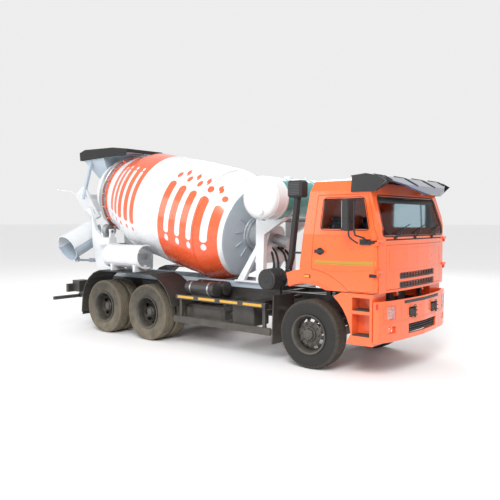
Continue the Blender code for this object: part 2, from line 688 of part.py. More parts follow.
def build_underrun():
    """The rear underrun bar on its hangers, with a lamp box on each side."""
    bar = rod((-6.95, -1.16, 0.545), (-6.95, 1.16, 0.545), 0.042, sides=12)
    pieces = []
    for side in (1, -1):
        y = sorted((side * (RAIL_Y + GAP), side * (RAIL_Y + 0.05)))
        hanger = [(-5.95, 0.88), (-5.95, 1.04), (-6.30, 1.04), (-6.98, 0.60), (-6.98, 0.50), (-6.92, 0.50), (-6.30, 0.84)]
        pieces.append(outline(hanger, y[0], y[1], "y"))
        lamp = sorted((side * 0.70, side * 1.12))
        pieces.append(block((-6.52, lamp[0], 0.72), (-6.44, lamp[1], 0.90)))
        arm = sorted((side * (RAIL_Y + 0.04), side * 0.75))
        pieces.append(block((-6.46, arm[0], 0.80), (-6.40, arm[1], 0.86)))
        box = sorted((side * 0.72, side * 1.00))
        pieces.append(block((-6.45, box[0], 0.73), (-6.20, box[1], 0.98)))
    node("rear_underrun", fuse(bar, *pieces), "chassis_black")


build_tanks()
build_air_intake()
build_side_guards()
build_rear_mudguards()
build_underrun()


# ---------------------------------------------------------------- mixer superstructure
SLOPE = math.radians(DRUM_SLOPE)
DRUM_AXIS = Vector((-math.cos(SLOPE), 0.0, math.sin(SLOPE)))    # from the front head to the mouth
DRUM_UP = Vector((math.sin(SLOPE), 0.0, math.cos(SLOPE)))


def on_drum(station, down=0.0, side=0.0):
    """A point at a station of the drum's axis, some way down and to one side of it."""
    return DRUM_FRONT + DRUM_AXIS * station - DRUM_UP * down + Y * side


def hull(points):
    """The convex solid round some corners."""
    bm = bmesh.new()
    for point in points:
        bm.verts.new(point)
    bmesh.ops.convex_hull(bm, input=bm.verts)
    return mesh_piece(bm)


def frustum(low, low_z, high, high_z):
    """A four-sided funnel solid between two level rectangles: (x0, x1, half width)."""
    corners = []
    for (x0, x1, half), z in ((low, low_z), (high, high_z)):
        corners += [(x, y, z) for x in (x0, x1) for y in (-half, half)]
    return hull(corners)


def build_subframe():
    low, high = RAIL_TOP + GAP, SUBFRAME_TOP
    rear = FRAME_REAR + 0.02
    rails = [block((rear, y, low), (SUBFRAME_FRONT, y + 0.08, high)) for y in (-RAIL_Y, RAIL_Y - 0.08)]
    members = [block((x - 0.05, -0.36, low + 0.01), (x + 0.05, 0.36, min(high - 0.01, 1.135)))
               for x in (-1.48, -2.25, -3.40, -4.60, -5.60, rear + 0.06)]
    node("mixer_subframe", fuse(rails[0], rails[1], *members), "grey_blue")


GEARBOX_FACE = -0.086 - FIT
GEARBOX_RADIUS = 0.25


def build_front_pedestal():
    """The A-frame that carries the drum's gearbox and, on its arms, the water tank."""
    foot = SUBFRAME_TOP + GAP
    leg_shape = [(-1.57, foot), (-1.41, foot), (-1.385, 2.06), (-0.93, 2.34), (-0.93, 2.52), (-1.45, 2.52), (-1.57, 2.30)]
    strut_shape = [(-1.56, 1.72), (-1.56, 1.88), (-2.04, foot), (-1.88, foot)]
    pieces = []
    for y0, y1 in ((-0.50, -0.40), (0.40, 0.50)):
        pieces.append(outline(leg_shape, y0, y1, "y"))
        pieces.append(outline(strut_shape, y0 + 0.01, y1 - 0.01, "y"))
        pieces.append(block((-2.08, y0, foot), (-1.40, y1, foot + 0.03)))
    saddle = block((-1.63, -0.45, 1.55), (-1.43, 0.45, 1.86), 0.0)
    cross = block((-1.50, -0.45, 2.28), (-1.44, 0.45, 2.36))
    tank_room = rod((TANK_CENTRE.x, -1, TANK_CENTRE.z), (TANK_CENTRE.x, 1, TANK_CENTRE.z), TANK_RADIUS + GAP, sides=32)
    gearbox_room = rod(on_drum(0.1), on_drum(-0.9), GEARBOX_RADIUS + GAP, sides=32)
    node("front_pedestal", cut(fuse(saddle, cross, *pieces), tank_room, gearbox_room), "white")


def build_gearbox():
    face = on_drum(GEARBOX_FACE)
    body = rod(face, on_drum(GEARBOX_FACE - 0.50), GEARBOX_RADIUS, sides=32)
    flange = rod(face, on_drum(GEARBOX_FACE - 0.05), GEARBOX_RADIUS + 0.05, sides=32)
    motor = rod(on_drum(GEARBOX_FACE - 0.45), on_drum(GEARBOX_FACE - 0.80), 0.10, sides=16)
    node("drum_gearbox", fuse(body, flange, motor), "grey_blue")


def build_tank():
    length, radius = TANK_HALF_LENGTH, TANK_RADIUS
    end = [(0.0, length), (0.16, length - 0.012), (0.27, length - 0.05), (0.34, length - 0.11), (radius, length - 0.19)]
    profile = end + [(r, -s) for r, s in reversed(end)]
    tank = turned(profile, TANK_CENTRE, Y, steps=32)
    node("water_tank", tank, "teal")


def drum_radius_at(station):
    """The drum's outer radius on its rear cone."""
    start, radius = DRUM_SHOULDER
    return radius + (DRUM_MOUTH_RADIUS - radius) * (station - start) / (DRUM_LENGTH - start)


def build_drum():
    """The mixing drum: an open shell with its drive flange in front and its track ring behind."""
    turn = pivot("drum_axis", DRUM_FRONT, DRUM_AXIS)
    start, end = DRUM_CYLINDER
    low, high = TRACK_STATION - TRACK_WIDTH / 2, TRACK_STATION + TRACK_WIDTH / 2
    wall = DRUM_WALL
    inner = [(0.0, wall), (DRUM_HEAD_RADIUS - wall, wall), (DRUM_RADIUS - wall, start), (DRUM_RADIUS - wall, end),
             (DRUM_SHOULDER[1] - wall, DRUM_SHOULDER[0]), (DRUM_MOUTH_RADIUS - wall, DRUM_LENGTH)]
    outer = [
        (DRUM_MOUTH_RADIUS, DRUM_LENGTH), (drum_radius_at(high), high), (TRACK_RADIUS, high), (TRACK_RADIUS, low),
        (drum_radius_at(low), low), (DRUM_SHOULDER[1], DRUM_SHOULDER[0]), (DRUM_RADIUS, end), (DRUM_RADIUS, start),
        (DRUM_HEAD_RADIUS, 0.0), (0.30, -0.04), (0.24, -0.086), (0.0, -0.086),
    ]
    shell = turned(inner + outer, DRUM_FRONT, DRUM_AXIS, steps=48)
    node("mixing_drum", shell, "drum_white", turn)


ROLLER_DOWN = (TRACK_RADIUS + ROLLER_RADIUS + 0.001) * math.cos(math.radians(ROLLER_ANGLE))
ROLLER_SIDE = (TRACK_RADIUS + ROLLER_RADIUS + 0.001) * math.sin(math.radians(ROLLER_ANGLE))


def build_rollers():
    for name, side in (("right", -1), ("left", 1)):
        centre = on_drum(TRACK_STATION, ROLLER_DOWN, side * ROLLER_SIDE)
        spin = pivot("roller_axis_" + name, centre, DRUM_AXIS)
        half = TRACK_WIDTH / 2 + 0.01
        wheel = rod(centre - DRUM_AXIS * half, centre + DRUM_AXIS * half, ROLLER_RADIUS, sides=24)
        shaft = rod(centre - DRUM_AXIS * 0.17, centre + DRUM_AXIS * 0.17, ROLLER_SHAFT, sides=24)
        node("drum_roller_" + name, fuse(wheel, shaft), "steel", spin)


def build_rear_pedestal():
    """Side plates and beams that carry the rollers, the discharge funnel and the chute's post."""
    foot = SUBFRAME_TOP + GAP
    rear_edge = CHUTE_POST_X + CHUTE_RADIUS + 0.05      # the chute tilts and unfolds behind this
    plate_shape = [(-5.45, foot), (-6.22, foot), (rear_edge + 0.03, 1.80), (rear_edge, 2.42), (-6.62, 2.58), (-6.46, 2.60), (-6.26, 2.10),
                   (-6.00, 1.93), (-5.42, 1.78)]
    pieces = [outline(plate_shape, y0, y1, "y") for y0, y1 in ((-0.50, -0.42), (0.42, 0.50))]
    centre = on_drum(TRACK_STATION, ROLLER_DOWN)
    for side in (1, -1):
        for end in (-0.14, 0.14):
            middle = centre + DRUM_AXIS * end + Y * side * ROLLER_SIDE
            bearing = block(middle + Vector((-0.025, -0.055, -0.26)), middle + Vector((0.025, 0.055, 0.05)))
            room = rod(middle - DRUM_AXIS * 0.1, middle + DRUM_AXIS * 0.1, running_bore(ROLLER_SHAFT), sides=24)
            pieces.append(cut(bearing, room))
        y = sorted((side * 0.44, side * (ROLLER_SIDE + 0.09)))
        pieces.append(block((centre.x - 0.19, y[0], centre.z - 0.33), (centre.x + 0.17, y[1], centre.z - 0.17)))
    pieces.append(block((-5.70, -0.46, 1.40), (-5.58, 0.46, 1.55)))
    pieces.append(block((-6.40, -0.46, 1.66), (-6.30, 0.46, 1.78)))
    low_arm = block((CHUTE_POST_X - 0.07, -0.07, 1.26), (-6.20, 0.07, 1.33))
    top_arm = block((CHUTE_POST_X - 0.07, -0.07, 1.50), (-6.35, 0.07, 1.56))
    riser = block((-6.40, -0.07, 1.26), (-6.33, 0.07, 1.72))
    cross = block((-6.24, -0.46, 1.24), (-6.15, 0.46, 1.33))
    post_room = rod((CHUTE_POST_X, 0, 1.2), (CHUTE_POST_X, 0, 1.7), 0.042 + RUN / 2, sides=20)
    arms = cut(fuse(low_arm, top_arm), post_room)
    node("rear_pedestal", cut(fuse(arms, riser, cross, *pieces), funnel_form(-0.0007)), "white")


def funnel_form(inset, lift=0.0):
    """The discharge funnel's outer form, or the same form moved in, for its hollow, or out."""
    x, t = CHUTE_POST_X, inset
    corners = [(x - 0.15 + t, 0.15 - t, FUNNEL_BOTTOM - lift), (x + 0.15 - t, 0.15 - t, FUNNEL_BOTTOM - lift),
               (-6.24 + 4 * lift, 0.40 - t, 2.42 + t), (-6.30 + 5 * lift, 0.66 - t, 2.90 + lift),
               (-6.55, 0.60 - t, 3.12 + 2 * lift), (-7.15 + t, 0.40 - t, 2.95 + 2 * lift), (-7.17 + t, 0.36 - t, 2.84)]
    return hull([(a, s * b, c) for a, b, c in corners for s in (1, -1)])


def build_funnel():
    """The discharge funnel behind the drum's mouth, open above and in front, with the control lever."""
    funnel = cut(funnel_form(0.0), funnel_form(0.012, 0.05))
    lever = tube([(-7.12, -0.34, 2.90), (-7.25, -0.46, 3.01), (-7.70, -0.50, 3.055)], 0.011)
    knob = rod((-7.68, -0.499, 3.053), (-7.73, -0.502, 3.058), 0.028, sides=12)
    node("discharge_funnel", fuse(funnel, lever, knob), "white")


def build_hopper():
    """The feed hopper: a throat that enters the drum's mouth, a tray over the drum and a rubber lip."""
    top, wall = 3.745, 0.012
    throat = cut(
        frustum((-6.22, -6.00, 0.22), 3.10, (-6.76, -5.99, 0.47), top),
        frustum((-6.22 + wall, -6.00 - wall, 0.22 - wall), 3.09, (-6.76 + wall, -5.99 - wall, 0.47 - wall), top + 0.02),
    )
    spout = cut(
        hull([(-6.20, y, z) for y in (-0.21, 0.21) for z in (3.12, 3.32)]
             + [(-5.72, y, z) for y in (-0.19, 0.19) for z in (2.98, 3.16)]),
        hull([(-6.14, y, z) for y in (-0.195, 0.195) for z in (3.135, 3.305)]
             + [(-5.70, y, z) for y in (-0.178, 0.178) for z in (2.992, 3.148)]),
    )
    core = frustum((-6.19, -6.02, 0.205), 3.16, (-6.74, -6.01, 0.45), top + 0.02)
    tray = outline([(-6.01, 3.735), (-5.14, 3.785), (-5.14, 3.80), (-6.01, 3.75)], -0.47, 0.47, "y")
    stays = [hull([(x, side * y, z) for x in (-6.50, -6.44) for y, z in
                   ((0.40, 3.66), (0.45, 3.70), (0.70, 2.80), (0.65, 2.80))]) for side in (1, -1)]
    node("feed_hopper", cut(fuse(throat, spout, tray, *stays), core, funnel_form(-0.0007, 0.0005)), "grey_blue")


build_subframe()
build_front_pedestal()
build_gearbox()
build_tank()
build_drum()
build_rollers()
build_rear_pedestal()


def build_hopper_lip():
    """The rubber skirt round the top of the hopper."""
    side = [(-6.80, 3.70), (-6.02, 3.72), (-5.95, 3.745), (-5.11, 3.79), (-5.11, 3.86), (-5.60, 3.92), (-6.62, 3.94),
            (-6.82, 3.88)]
    skirt = cut(outline(side, -0.51, 0.51, "y"), block((-6.76 - GAP, -0.47 - GAP, 3.6), (-5.14 + GAP, 0.47 + GAP, 4.0)))
    node("hopper_lip", skirt, "rubber")


def build_extension_chute():
    """The spare chute piece that lies in cradles on the right mudguard."""
    seat = WHEEL_RADIUS + 0.02 + MUDGUARD_RADIUS * math.sin(math.radians(100)) + GAP
    centre = (-0.985, seat + 0.30)
    radius, wall = 0.235, 0.010
    outer = arc(centre, radius, 65, 295, 14)
    inner = arc(centre, radius - wall, 295, 65, 14)
    trough = outline(outer + inner, -5.05, -3.97, "x")
    rims = [outline(arc(centre, radius + 0.012, 65, 295, 14) + arc(centre, radius - wall, 295, 65, 14), x, x + 0.025, "x")
            for x in (-5.055, -3.99)]
    cradles = []
    for x in (-4.85, -4.15):
        cradle = block((x - 0.03, -1.16, seat), (x + 0.03, -0.84, seat + 0.14))
        room = rod((x - 0.1, *centre), (x + 0.1, *centre), radius - wall / 2, sides=32)
        cradles.append(cut(cradle, room))
    node("extension_chute", fuse(trough, *rims, *cradles), "white")


def build_ladder():
    """The ladder to the hopper on the left side, with its platform."""
    y = 0.76
    rails = [tube([(x, y, 1.30), (x, y, 3.30), (x, 0.62, 3.62)], 0.018) for x in (-6.02, -6.36)]
    rungs = [rod((-6.02, y, z / 100), (-6.36, y, z / 100), 0.013, sides=8) for z in range(145, 331, 30)]
    arms = [block((x - 0.02, 0.50 + GAP, z - 0.02), (x + 0.02, y + 0.01, z + 0.02))
            for x, z in ((-6.02, 1.60), (-6.36, 1.90))]
    node("access_ladder", fuse(rails[0], rails[1], *rungs, *arms), "grey_blue")


# ---------------------------------------------------------------- discharge chute
def build_chute():
    """The swivelling post, the tilting main trough with its jack, and the flap folded over it.

    It is laid out pointing straight back and then turned about the post to where it is parked.
    """
    post = Vector((CHUTE_POST_X, 0, 0))
    park = Matrix.Translation(post) @ Matrix.Rotation(math.radians(CHUTE_REST_TURN), 4, "Z") @ Matrix.Translation(-post)

    def at(out, z, side=0.0):
        """A point behind the post, before parking."""
        return Vector((CHUTE_POST_X - out, side, z))

    def parked(obj):
        obj.data.transform(park)
        return obj

    slope = math.radians(CHUTE_SLOPE)
    along = Vector((-math.cos(slope), 0, -math.sin(slope)))
    normal = Vector((-math.sin(slope), 0, math.cos(slope)))
    pin = at(0, CHUTE_PIN_Z)
    lift = CHUTE_RADIUS + 0.06
    frame = Matrix((
        (along.x, 0, normal.x, (pin + normal * lift).x), (0, -1, 0, 0),
        (along.z, 0, normal.z, (pin + normal * lift).z), (0, 0, 0, 1),
    ))
    start, end = -0.40, CHUTE_LENGTH - 0.40

    def trough(s0, s1, first, last, radius, wall=CHUTE_WALL):
        """Part of a pipe along the chute between two angles, where 270 degrees is its lowest line."""
        ring = arc((0, 0), radius, first, last, 14) + arc((0, 0), radius - wall, last, first, 14)
        obj = outline(ring, s0, s1, "x")
        obj.data.transform(frame)
        return obj

    swing = pivot("chute_post", post + Vector((0, 0, 1.4)), -Z)
    tilt_axis = park.to_3x3() @ Vector((0, -1, 0))
    tilt = pivot("chute_tilt_pin", park @ pin, tilt_axis, swing)

    tower = rod(at(0, 1.23), at(0, CHUTE_PIN_Z - 0.075), 0.042, sides=20)
    collar = rod(at(0, 1.33 + FIT), at(0, 1.42), 0.065, sides=20)
    head = block(at(0.05, CHUTE_PIN_Z - 0.12, -0.11), at(-0.05, CHUTE_PIN_Z - 0.07, 0.11))
    ears = [block(at(0.04, CHUTE_PIN_Z - 0.09, y), at(-0.04, CHUTE_PIN_Z + 0.035, y + 0.03)) for y in (-0.11, 0.08)]
    foot = block(at(0.24, 1.335, -0.04), at(0.0, 1.405, 0.04))
    foot_ears = [block(at(0.30, 1.335, y), at(0.20, 1.425, y + 0.015)) for y in (-0.045, 0.03)]
    pins = [rod(pin + Y * -0.11, pin + Y * 0.11, 0.015, sides=16)]
    swivel = fuse(tower, collar, head, foot, *ears, *foot_ears, *pins)
    node("chute_swivel", parked(swivel), "grey_blue", swing)

    main = trough(start, end, 180, 360, CHUTE_RADIUS)
    belts = [trough(s, s + 0.03, 183, 357, CHUTE_RADIUS + 0.012, 0.014) for s in (start - 0.002, end - 0.029)]
    lug = block(Vector((-0.04, -0.07, -lift - 0.035)), Vector((0.04, 0.07, -CHUTE_RADIUS + 0.008)))
    lug.data.transform(frame)
    hole = rod(pin + Y * -0.2, pin + Y * 0.2, running_bore(0.015, 16), sides=16)
    jack_eye = frame @ Vector((0.72, 0, -CHUTE_RADIUS - 0.075))
    jack_ears = []
    for y in (-0.05, 0.035):
        ear = block(Vector((0.68, y, -CHUTE_RADIUS - 0.105)), Vector((0.76, y + 0.015, -CHUTE_RADIUS + 0.02)))
        ear.data.transform(frame)
        jack_ears.append(ear)
    jack_pin = rod(jack_eye + Y * -0.05, jack_eye + Y * 0.05, 0.010, sides=12)
    fold_line = Vector((end + 0.004, 0, 0.014))
    hinge_lugs, flap_ears = [], []
    for side in (1, -1):
        lug_y = sorted((side * 0.302, side * 0.308))
        hinge_lugs.append(block((end - 0.026, lug_y[0], -0.035), (end + 0.010, lug_y[1], 0.026)))
        hinge_lugs.append(rod(fold_line + Y * side * 0.304, fold_line + Y * side * 0.335, 0.009, sides=16))
        ear_y = sorted((side * (0.312 + FIT), side * 0.328))
        ear = block((end - 0.03, ear_y[0], 0.0), (end + 0.016, ear_y[1], 0.065))
        hole_room = rod(fold_line + Y * side * 0.25, fold_line + Y * side * 0.4, running_bore(0.009, 16), sides=16)
        link_y = sorted((side * 0.275, side * 0.32))
        link = block((end - 0.03, link_y[0], 0.045), (end - 0.012, link_y[1], 0.065))
        flap_ears.append(fuse(cut(ear, hole_room), link))
    for obj in hinge_lugs + flap_ears:
        obj.data.transform(frame)
    chute = fuse(main, *belts, *jack_ears, jack_pin, cut(lug, hole), *hinge_lugs)
    node("main_chute", parked(chute), "grey_blue", tilt)

    jack_foot = at(0.27, 1.38)
    reach = jack_eye - jack_foot
    line = reach.normalized()
    lean = pivot("chute_jack_pin", park @ jack_foot, tilt_axis, swing)
    barrel = rod(jack_foot + line * 0.02, jack_foot + line * 0.275, 0.026, sides=16)
    lug_eye = rod(jack_foot + Y * (FIT - 0.03), jack_foot + Y * (0.03 - FIT), 0.028, sides=16)
    bore = rod(jack_foot + line * 0.06, jack_foot + line * 0.285, running_bore(0.0155, 16), sides=16)
    barrel = cut(fuse(barrel, lug_eye), bore)
    node("chute_jack_barrel", parked(barrel), "grey_blue", lean)
    slide = pivot("chute_jack_slide", park @ (jack_foot + line * 0.2), park.to_3x3() @ line, lean)
    stem = rod(jack_foot + line * 0.13, jack_eye - line * 0.03, 0.0155, sides=16)
    eye = cut(rod(jack_eye + Y * -0.028, jack_eye + Y * 0.028, 0.036, sides=16),
              rod(jack_eye + Y * -0.1, jack_eye + Y * 0.1, 0.024, sides=16))
    node("chute_jack_rod", parked(fuse(stem, eye)), "steel", slide)

    fold = pivot("chute_fold_pin", park @ frame @ fold_line, tilt_axis, tilt)
    flap_start = end - 0.80
    flap = trough(flap_start, end - 0.002, 1.2, 178.8, CHUTE_RADIUS)
    rim = trough(end - 0.034, end - 0.006, 8, 172, CHUTE_RADIUS + 0.012, 0.02)
    node("folding_chute", parked(fuse(flap, rim, *flap_ears)), "white", fold)


build_funnel()
build_hopper()
build_hopper_lip()
build_extension_chute()
build_ladder()
build_chute()


# ---------------------------------------------------------------- cab
REAR_WALL = [(-0.14, CAB_FLOOR), (-0.125, 1.62), (-0.056, 2.13), (0.02, 2.74)]


def rear_wall_x(z):
    """Where the cab's rear wall is at a height."""
    for (x0, z0), (x1, z1) in zip(REAR_WALL, REAR_WALL[1:]):
        if z0 <= z <= z1:
            return x0 + (x1 - x0) * (z - z0) / (z1 - z0)
    return REAR_WALL[-1][0]


def cab_hull(inset):
    """The cab's outer form, or the same form with every face moved in."""
    t = inset
    side = [(x + t, z) for x, z in REAR_WALL]
    side[0] = (side[0][0], CAB_FLOOR + t)
    side += [(0.06 + t, CAB_ROOF - 0.03 - t), (0.30, CAB_ROOF - t), (0.80, CAB_ROOF - t), (0.98 - t, CAB_ROOF - 0.07 - t),
             (1.05 - t, 2.72 - t * 0.4), (1.252 - t, 2.06), (CAB_FRONT - t, 1.96), (CAB_FRONT - t, CAB_FLOOR + t)]
    w = CAB_HALF_WIDTH
    bend = [(-0.5, -w + t), (1.13 - t * 0.4, -w + t), (1.20 - t, -w + 0.07 + t * 0.4), (1.25 - t, -0.75), (1.277 - t, -0.40)]
    plan = bend + [(CAB_FRONT - t, 0.0)] + [(x, -y) for x, y in reversed(bend)]
    half = [(w - t, 1.0), (w - t, 2.10), (w - 0.07 - t, 2.75), (w - 0.14 - t, CAB_ROOF - 0.03 - t), (0.95, CAB_ROOF - t)]
    section = half + [(-y, z) for y, z in reversed(half)]
    return common(outline(side, -1.4, 1.4, "y"), outline(plan, 1.0, 3.1, "z"), outline(section, -0.6, 1.6, "x"))


DOOR_ARC = CAB_ARC = 1.02     # outer radius of the fender band


def door_outline(play):
    """The door's edge, moved in by some play."""
    low = CAB_FLOOR + 0.008 + play
    radius = DOOR_ARC + 0.012 + play
    first = math.degrees(math.acos((0.088 + play) / radius))
    last = math.degrees(math.asin((low - WHEEL_RADIUS) / radius))
    return [(0.174 + play, 2.69 - play), (0.088 + play, 1.62)] + arc((0, WHEEL_RADIUS), radius, first, last, 6) + [
        (DOOR_FRONT_X - play, low), (DOOR_FRONT_X - play, 1.40), (1.18 - play, 2.06), (1.02 - play, 2.69 - play)]


def side_window(play):
    return [(0.284 + play, 2.635 - play), (0.252 + play, 2.18 + play), (1.056 - play, 2.18 + play), (0.95 - play, 2.635 - play)]


def front_edge(play):
    """The front panel's edge, in (y, z)."""
    y, low, high = 0.98 - play, CAB_FLOOR + 0.036 + play, 1.955 - play
    return [(-y, low), (y, low), (y, high), (-y, high)]


def screen_edge(play):
    """The windscreen's edge, in (y, z)."""
    return [(-1.08 + play, 2.09 + play), (1.08 - play, 2.09 + play), (1.00 - play, 2.66 - play), (-1.00 + play, 2.66 - play)]


def build_fender(side):
    """The orange band over the front wheel that belongs to the cab."""
    low = CAB_FLOOR + 0.0002
    inner_end = math.degrees(math.asin((low - WHEEL_RADIUS) / ARCH_RADIUS))
    outer_end = math.degrees(math.asin((low - WHEEL_RADIUS) / CAB_ARC))
    shape = arc((0, WHEEL_RADIUS), CAB_ARC, 112, outer_end, 8) + arc((0, WHEEL_RADIUS), ARCH_RADIUS, inner_end, 114, 6)
    y = sorted((side * CAB_HALF_WIDTH, side * 0.78))
    return outline(shape, y[0], y[1], "y")


DOOR_HINGE_Y = CAB_HALF_WIDTH - 0.005


def build_cab(tilt):
    shell = cut(cab_hull(0.0), cab_hull(CAB_WALL))
    recess = cut(outline(front_edge(0.0), 0.9, 1.5, "x"), cab_hull(0.034))
    cutters = [outline(screen_edge(0.0), 0.7, 1.5, "x"), recess]
    additions = []
    for side in (1, -1):
        y = sorted((side * 1.05, side * 1.5))
        cutters.append(outline(door_outline(0.0), y[0], y[1], "y"))
        arch = sorted((side * 0.80, side * 1.4))
        cutters.append(rod((0, arch[0], WHEEL_RADIUS), (0, arch[1], WHEEL_RADIUS), ARCH_RADIUS, sides=48))
        additions.append(build_fender(side))
        lug = sorted((side * (RAIL_Y + FIT), side * (RAIL_Y + 0.06)))
        additions.append(rod((CAB_HINGE_X, lug[0], CAB_HINGE_Z), (CAB_HINGE_X, lug[1], CAB_HINGE_Z), 0.032, sides=16))
        additions.append(block((CAB_HINGE_X - 0.025, lug[0], CAB_HINGE_Z), (CAB_HINGE_X + 0.025, lug[1], CAB_FLOOR + 0.02)))
        for z in (1.56, 2.00):
            leg = sorted((side * DOOR_HINGE_Y, side * 1.10))
            additions.append(block((1.200, leg[0], z + FIT), (1.232, leg[1], z + 0.04)))
            additions.append(rod((1.20, side * DOOR_HINGE_Y, z + FIT), (1.20, side * DOOR_HINGE_Y, z + 0.04), 0.013, sides=12))
    node("cab_shell", fuse(cut(shell, *cutters), *additions), "orange", tilt)

    glass = common(cut(cab_hull(0.012), cab_hull(0.020)), outline(screen_edge(GAP), 0.7, 1.5, "x"))
    node("windscreen", glass, "glass", tilt)

    flap_pin = pivot("front_panel_hinge", (CAB_FRONT + 0.015, 0, 1.955), -Y, tilt)
    panel = common(cut(cab_hull(0.0), cab_hull(0.034 - GAP)), outline(front_edge(RUN), 1.0, 1.5, "x"))
    slots = [block((1.2, -0.60, z - 0.035), (1.5, 0.60, z + 0.035)) for z in (1.49, 1.355)]
    panel = cut(panel, *slots)
    node("front_panel", panel, "orange", flap_pin)


def build_cab_inside(tilt):
    half = CAB_HALF_WIDTH - 0.155      # clear of the doors' front corners as they swing
    dash = common(block((0.93, -half, 1.72), (1.4, half, 2.02), 0.05), cab_hull(CAB_WALL + GAP))
    node("dashboard", dash, "interior", tilt)
    floor = CAB_FLOOR + CAB_WALL + GAP
    pieces = []
    for side in (1, -1):
        y0, y1 = sorted((side * 0.24, side * 0.76))
        pieces.append(block((0.10, y0, 1.58), (0.62, y1, 1.74), 0.05, 2))
        pieces.append(hull([(x, y, z) for y in (y0 + 0.02, y1 - 0.02) for x, z in
                            ((0.08, 1.66), (0.22, 1.66), (0.15, 2.38), (0.06, 2.38))]))
        pieces.append(block((0.16, y0 + 0.04, floor), (0.56, y1 - 0.06, 1.60)))
    pieces.append(block((0.12, -0.30, floor), (0.60, 0.30, 1.50), 0.04))
    node("cab_seats", fuse(*pieces), "fabric", tilt)
    centre, lean = Vector((0.78, 0.50, 1.96)), Vector((-0.55, 0, 0.83)).normalized()
    across = Y.cross(lean)
    rim = [centre + Y * 0.23 * math.cos(a) + across * 0.23 * math.sin(a) for a in
           [2 * math.pi * i / 24 for i in range(24)]]
    spokes = [rod(centre - lean * 0.02, centre + (Y * math.cos(a) + across * math.sin(a)) * 0.23, 0.012, sides=8)
              for a in (0.3, math.pi - 0.3, -math.pi / 2)]
    column = rod(centre - lean * 0.01, (0.9297, 0.50, 1.745), 0.035, sides=12)
    wheel = cut(fuse(tube(rim, 0.016, 1, True), column, *spokes), block((0.93 - GAP, 0.2, 1.5), (1.3, 0.8, 2.2)))
    node("steering_wheel", wheel, "plastic_black", tilt)


def build_doors(tilt):
    shell = cut(cab_hull(0.0), cab_hull(CAB_WALL))
    ledge = block((-0.5, -CAB_HALF_WIDTH + CAB_WALL, 1.0), (1.5, -0.9, CAB_FLOOR + 0.10))
    door = cut(common(copy(shell), outline(door_outline(RUN), -1.5, -1.07, "y")), ledge,
               outline(side_window(0.0), -1.5, -1.0, "y"))
    leaves = []
    for z in (1.56, 2.00):
        leaves.append(rod((1.20, -DOOR_HINGE_Y, z - 0.05), (1.20, -DOOR_HINGE_Y, z), 0.013, sides=12))
        leaves.append(block((1.10, -DOOR_HINGE_Y - 0.006, z - 0.05), (1.20, -DOOR_HINGE_Y + 0.006, z)))
    door = fuse(door, *leaves)
    pane = common(cut(cab_hull(0.016), cab_hull(0.022)), outline(side_window(GAP), -1.5, -1.07, "y"))
    face = -CAB_HALF_WIDTH - GAP
    base = block((0.93, face - 0.03, 1.96), (1.09, face, 2.04))
    arm = tube([(1.05, face - 0.015, 2.0), (1.04, -1.33, 2.06), (0.96, -1.43, 2.10), (0.94, -1.44, 2.20), (0.94, -1.44, 2.58)], 0.014)
    housing = block((0.80, -1.545, 2.16), (0.90, -1.325, 2.62), 0.03, 2)
    link = block((0.88, -1.455, 2.30), (0.95, -1.425, 2.34))
    mirror = fuse(housing, base, arm, link)
    shapes = {"door": (door, "orange"), "door_glass": (pane, "glass"), "mirror": (mirror, "plastic_black")}
    for name, side in (("left", 1), ("right", -1)):
        hinge = pivot("door_hinge_" + name, (1.20, side * DOOR_HINGE_Y, 1.7), Z * -side, tilt)
        for part, (shape, finish) in shapes.items():
            node(f"{part}_{name}", mirrored(shape) if side > 0 else shape, finish, hinge)
    bpy.data.objects.remove(shell, do_unlink=True)


def build_visor(tilt):
    """The sun visor over the windscreen, with its end cheeks and its feet on the roof."""
    top = [(0.74, 2.962), (0.98, 2.985), (1.18, 2.945), (1.38, 2.83), (1.51, 2.70)]
    under = [(1.492, 2.692), (1.365, 2.815), (1.17, 2.929), (0.98, 2.968), (0.74, 2.945)]
    plate = outline(top + under, -1.18, 1.18, "y")
    cheek = [(0.74, 2.725), (0.76, 2.955), (0.98, 2.978), (1.18, 2.938), (1.30, 2.87), (1.14, 2.725)]
    cheeks = [outline(cheek, y, y + 0.018, "y") for y in (-1.18, 1.162)]
    bend = [(0.6, -1.19), (1.05, -1.19), (1.28, -1.00), (1.42, -0.62), (1.50, -0.25)]
    plan = outline(bend + [(1.52, 0.0)] + [(x, -y) for x, y in reversed(bend)], 2.6, 3.1, "z")
    feet = [block((0.74, y - 0.05, CAB_ROOF + GAP), (0.795, y + 0.05, 2.955)) for y in (-0.80, 0.0, 0.80)]
    node("sun_visor", fuse(common(plate, plan), *cheeks, *feet), "visor", tilt)


def build_intake_stack(tilt):
    """The snorkel on the cab's rear wall, with its joint above the air cleaner's neck."""
    start = Vector(INTAKE_JOINT) + Vector((0.014, -0.008, 0.040))
    path = [start, Vector((-0.40, -1.05, 1.72)), Vector((-0.31, -1.05, 2.45)), Vector((-0.285, -1.05, 2.69))]
    pipe = tube(path, 0.062)
    pipe = cut(pipe, rod(Vector(INTAKE_JOINT) - Z * 0.2, Vector(INTAKE_JOINT) + Vector((0, 0, 0.022)), 0.2))
    head = block((-0.42, -1.16, 2.67), (-0.15, -0.94, 2.94), 0.03)
    stays = [block((-0.34, -1.07, z - 0.015), (rear_wall_x(z - 0.015) - GAP, -1.03, z + 0.015)) for z in (1.80, 2.30)]
    node("intake_stack", fuse(pipe, head, *stays), "plastic_black", tilt)


def centre_truck():
    """Moves the truck so that the origin is on the ground under the middle of its bounding box."""
    bpy.context.view_layer.update()
    corners = [obj.matrix_world @ Vector(corner) for obj in TRUCK.objects if obj.type == "MESH" for corner in obj.bound_box]
    low = Vector([min(corner[i] for corner in corners) for i in range(3)])
    high = Vector([max(corner[i] for corner in corners) for i in range(3)])
    ORIGIN.location = (-(low.x + high.x) / 2, -(low.y + high.y) / 2, -low.z)
    bpy.context.view_layer.update()


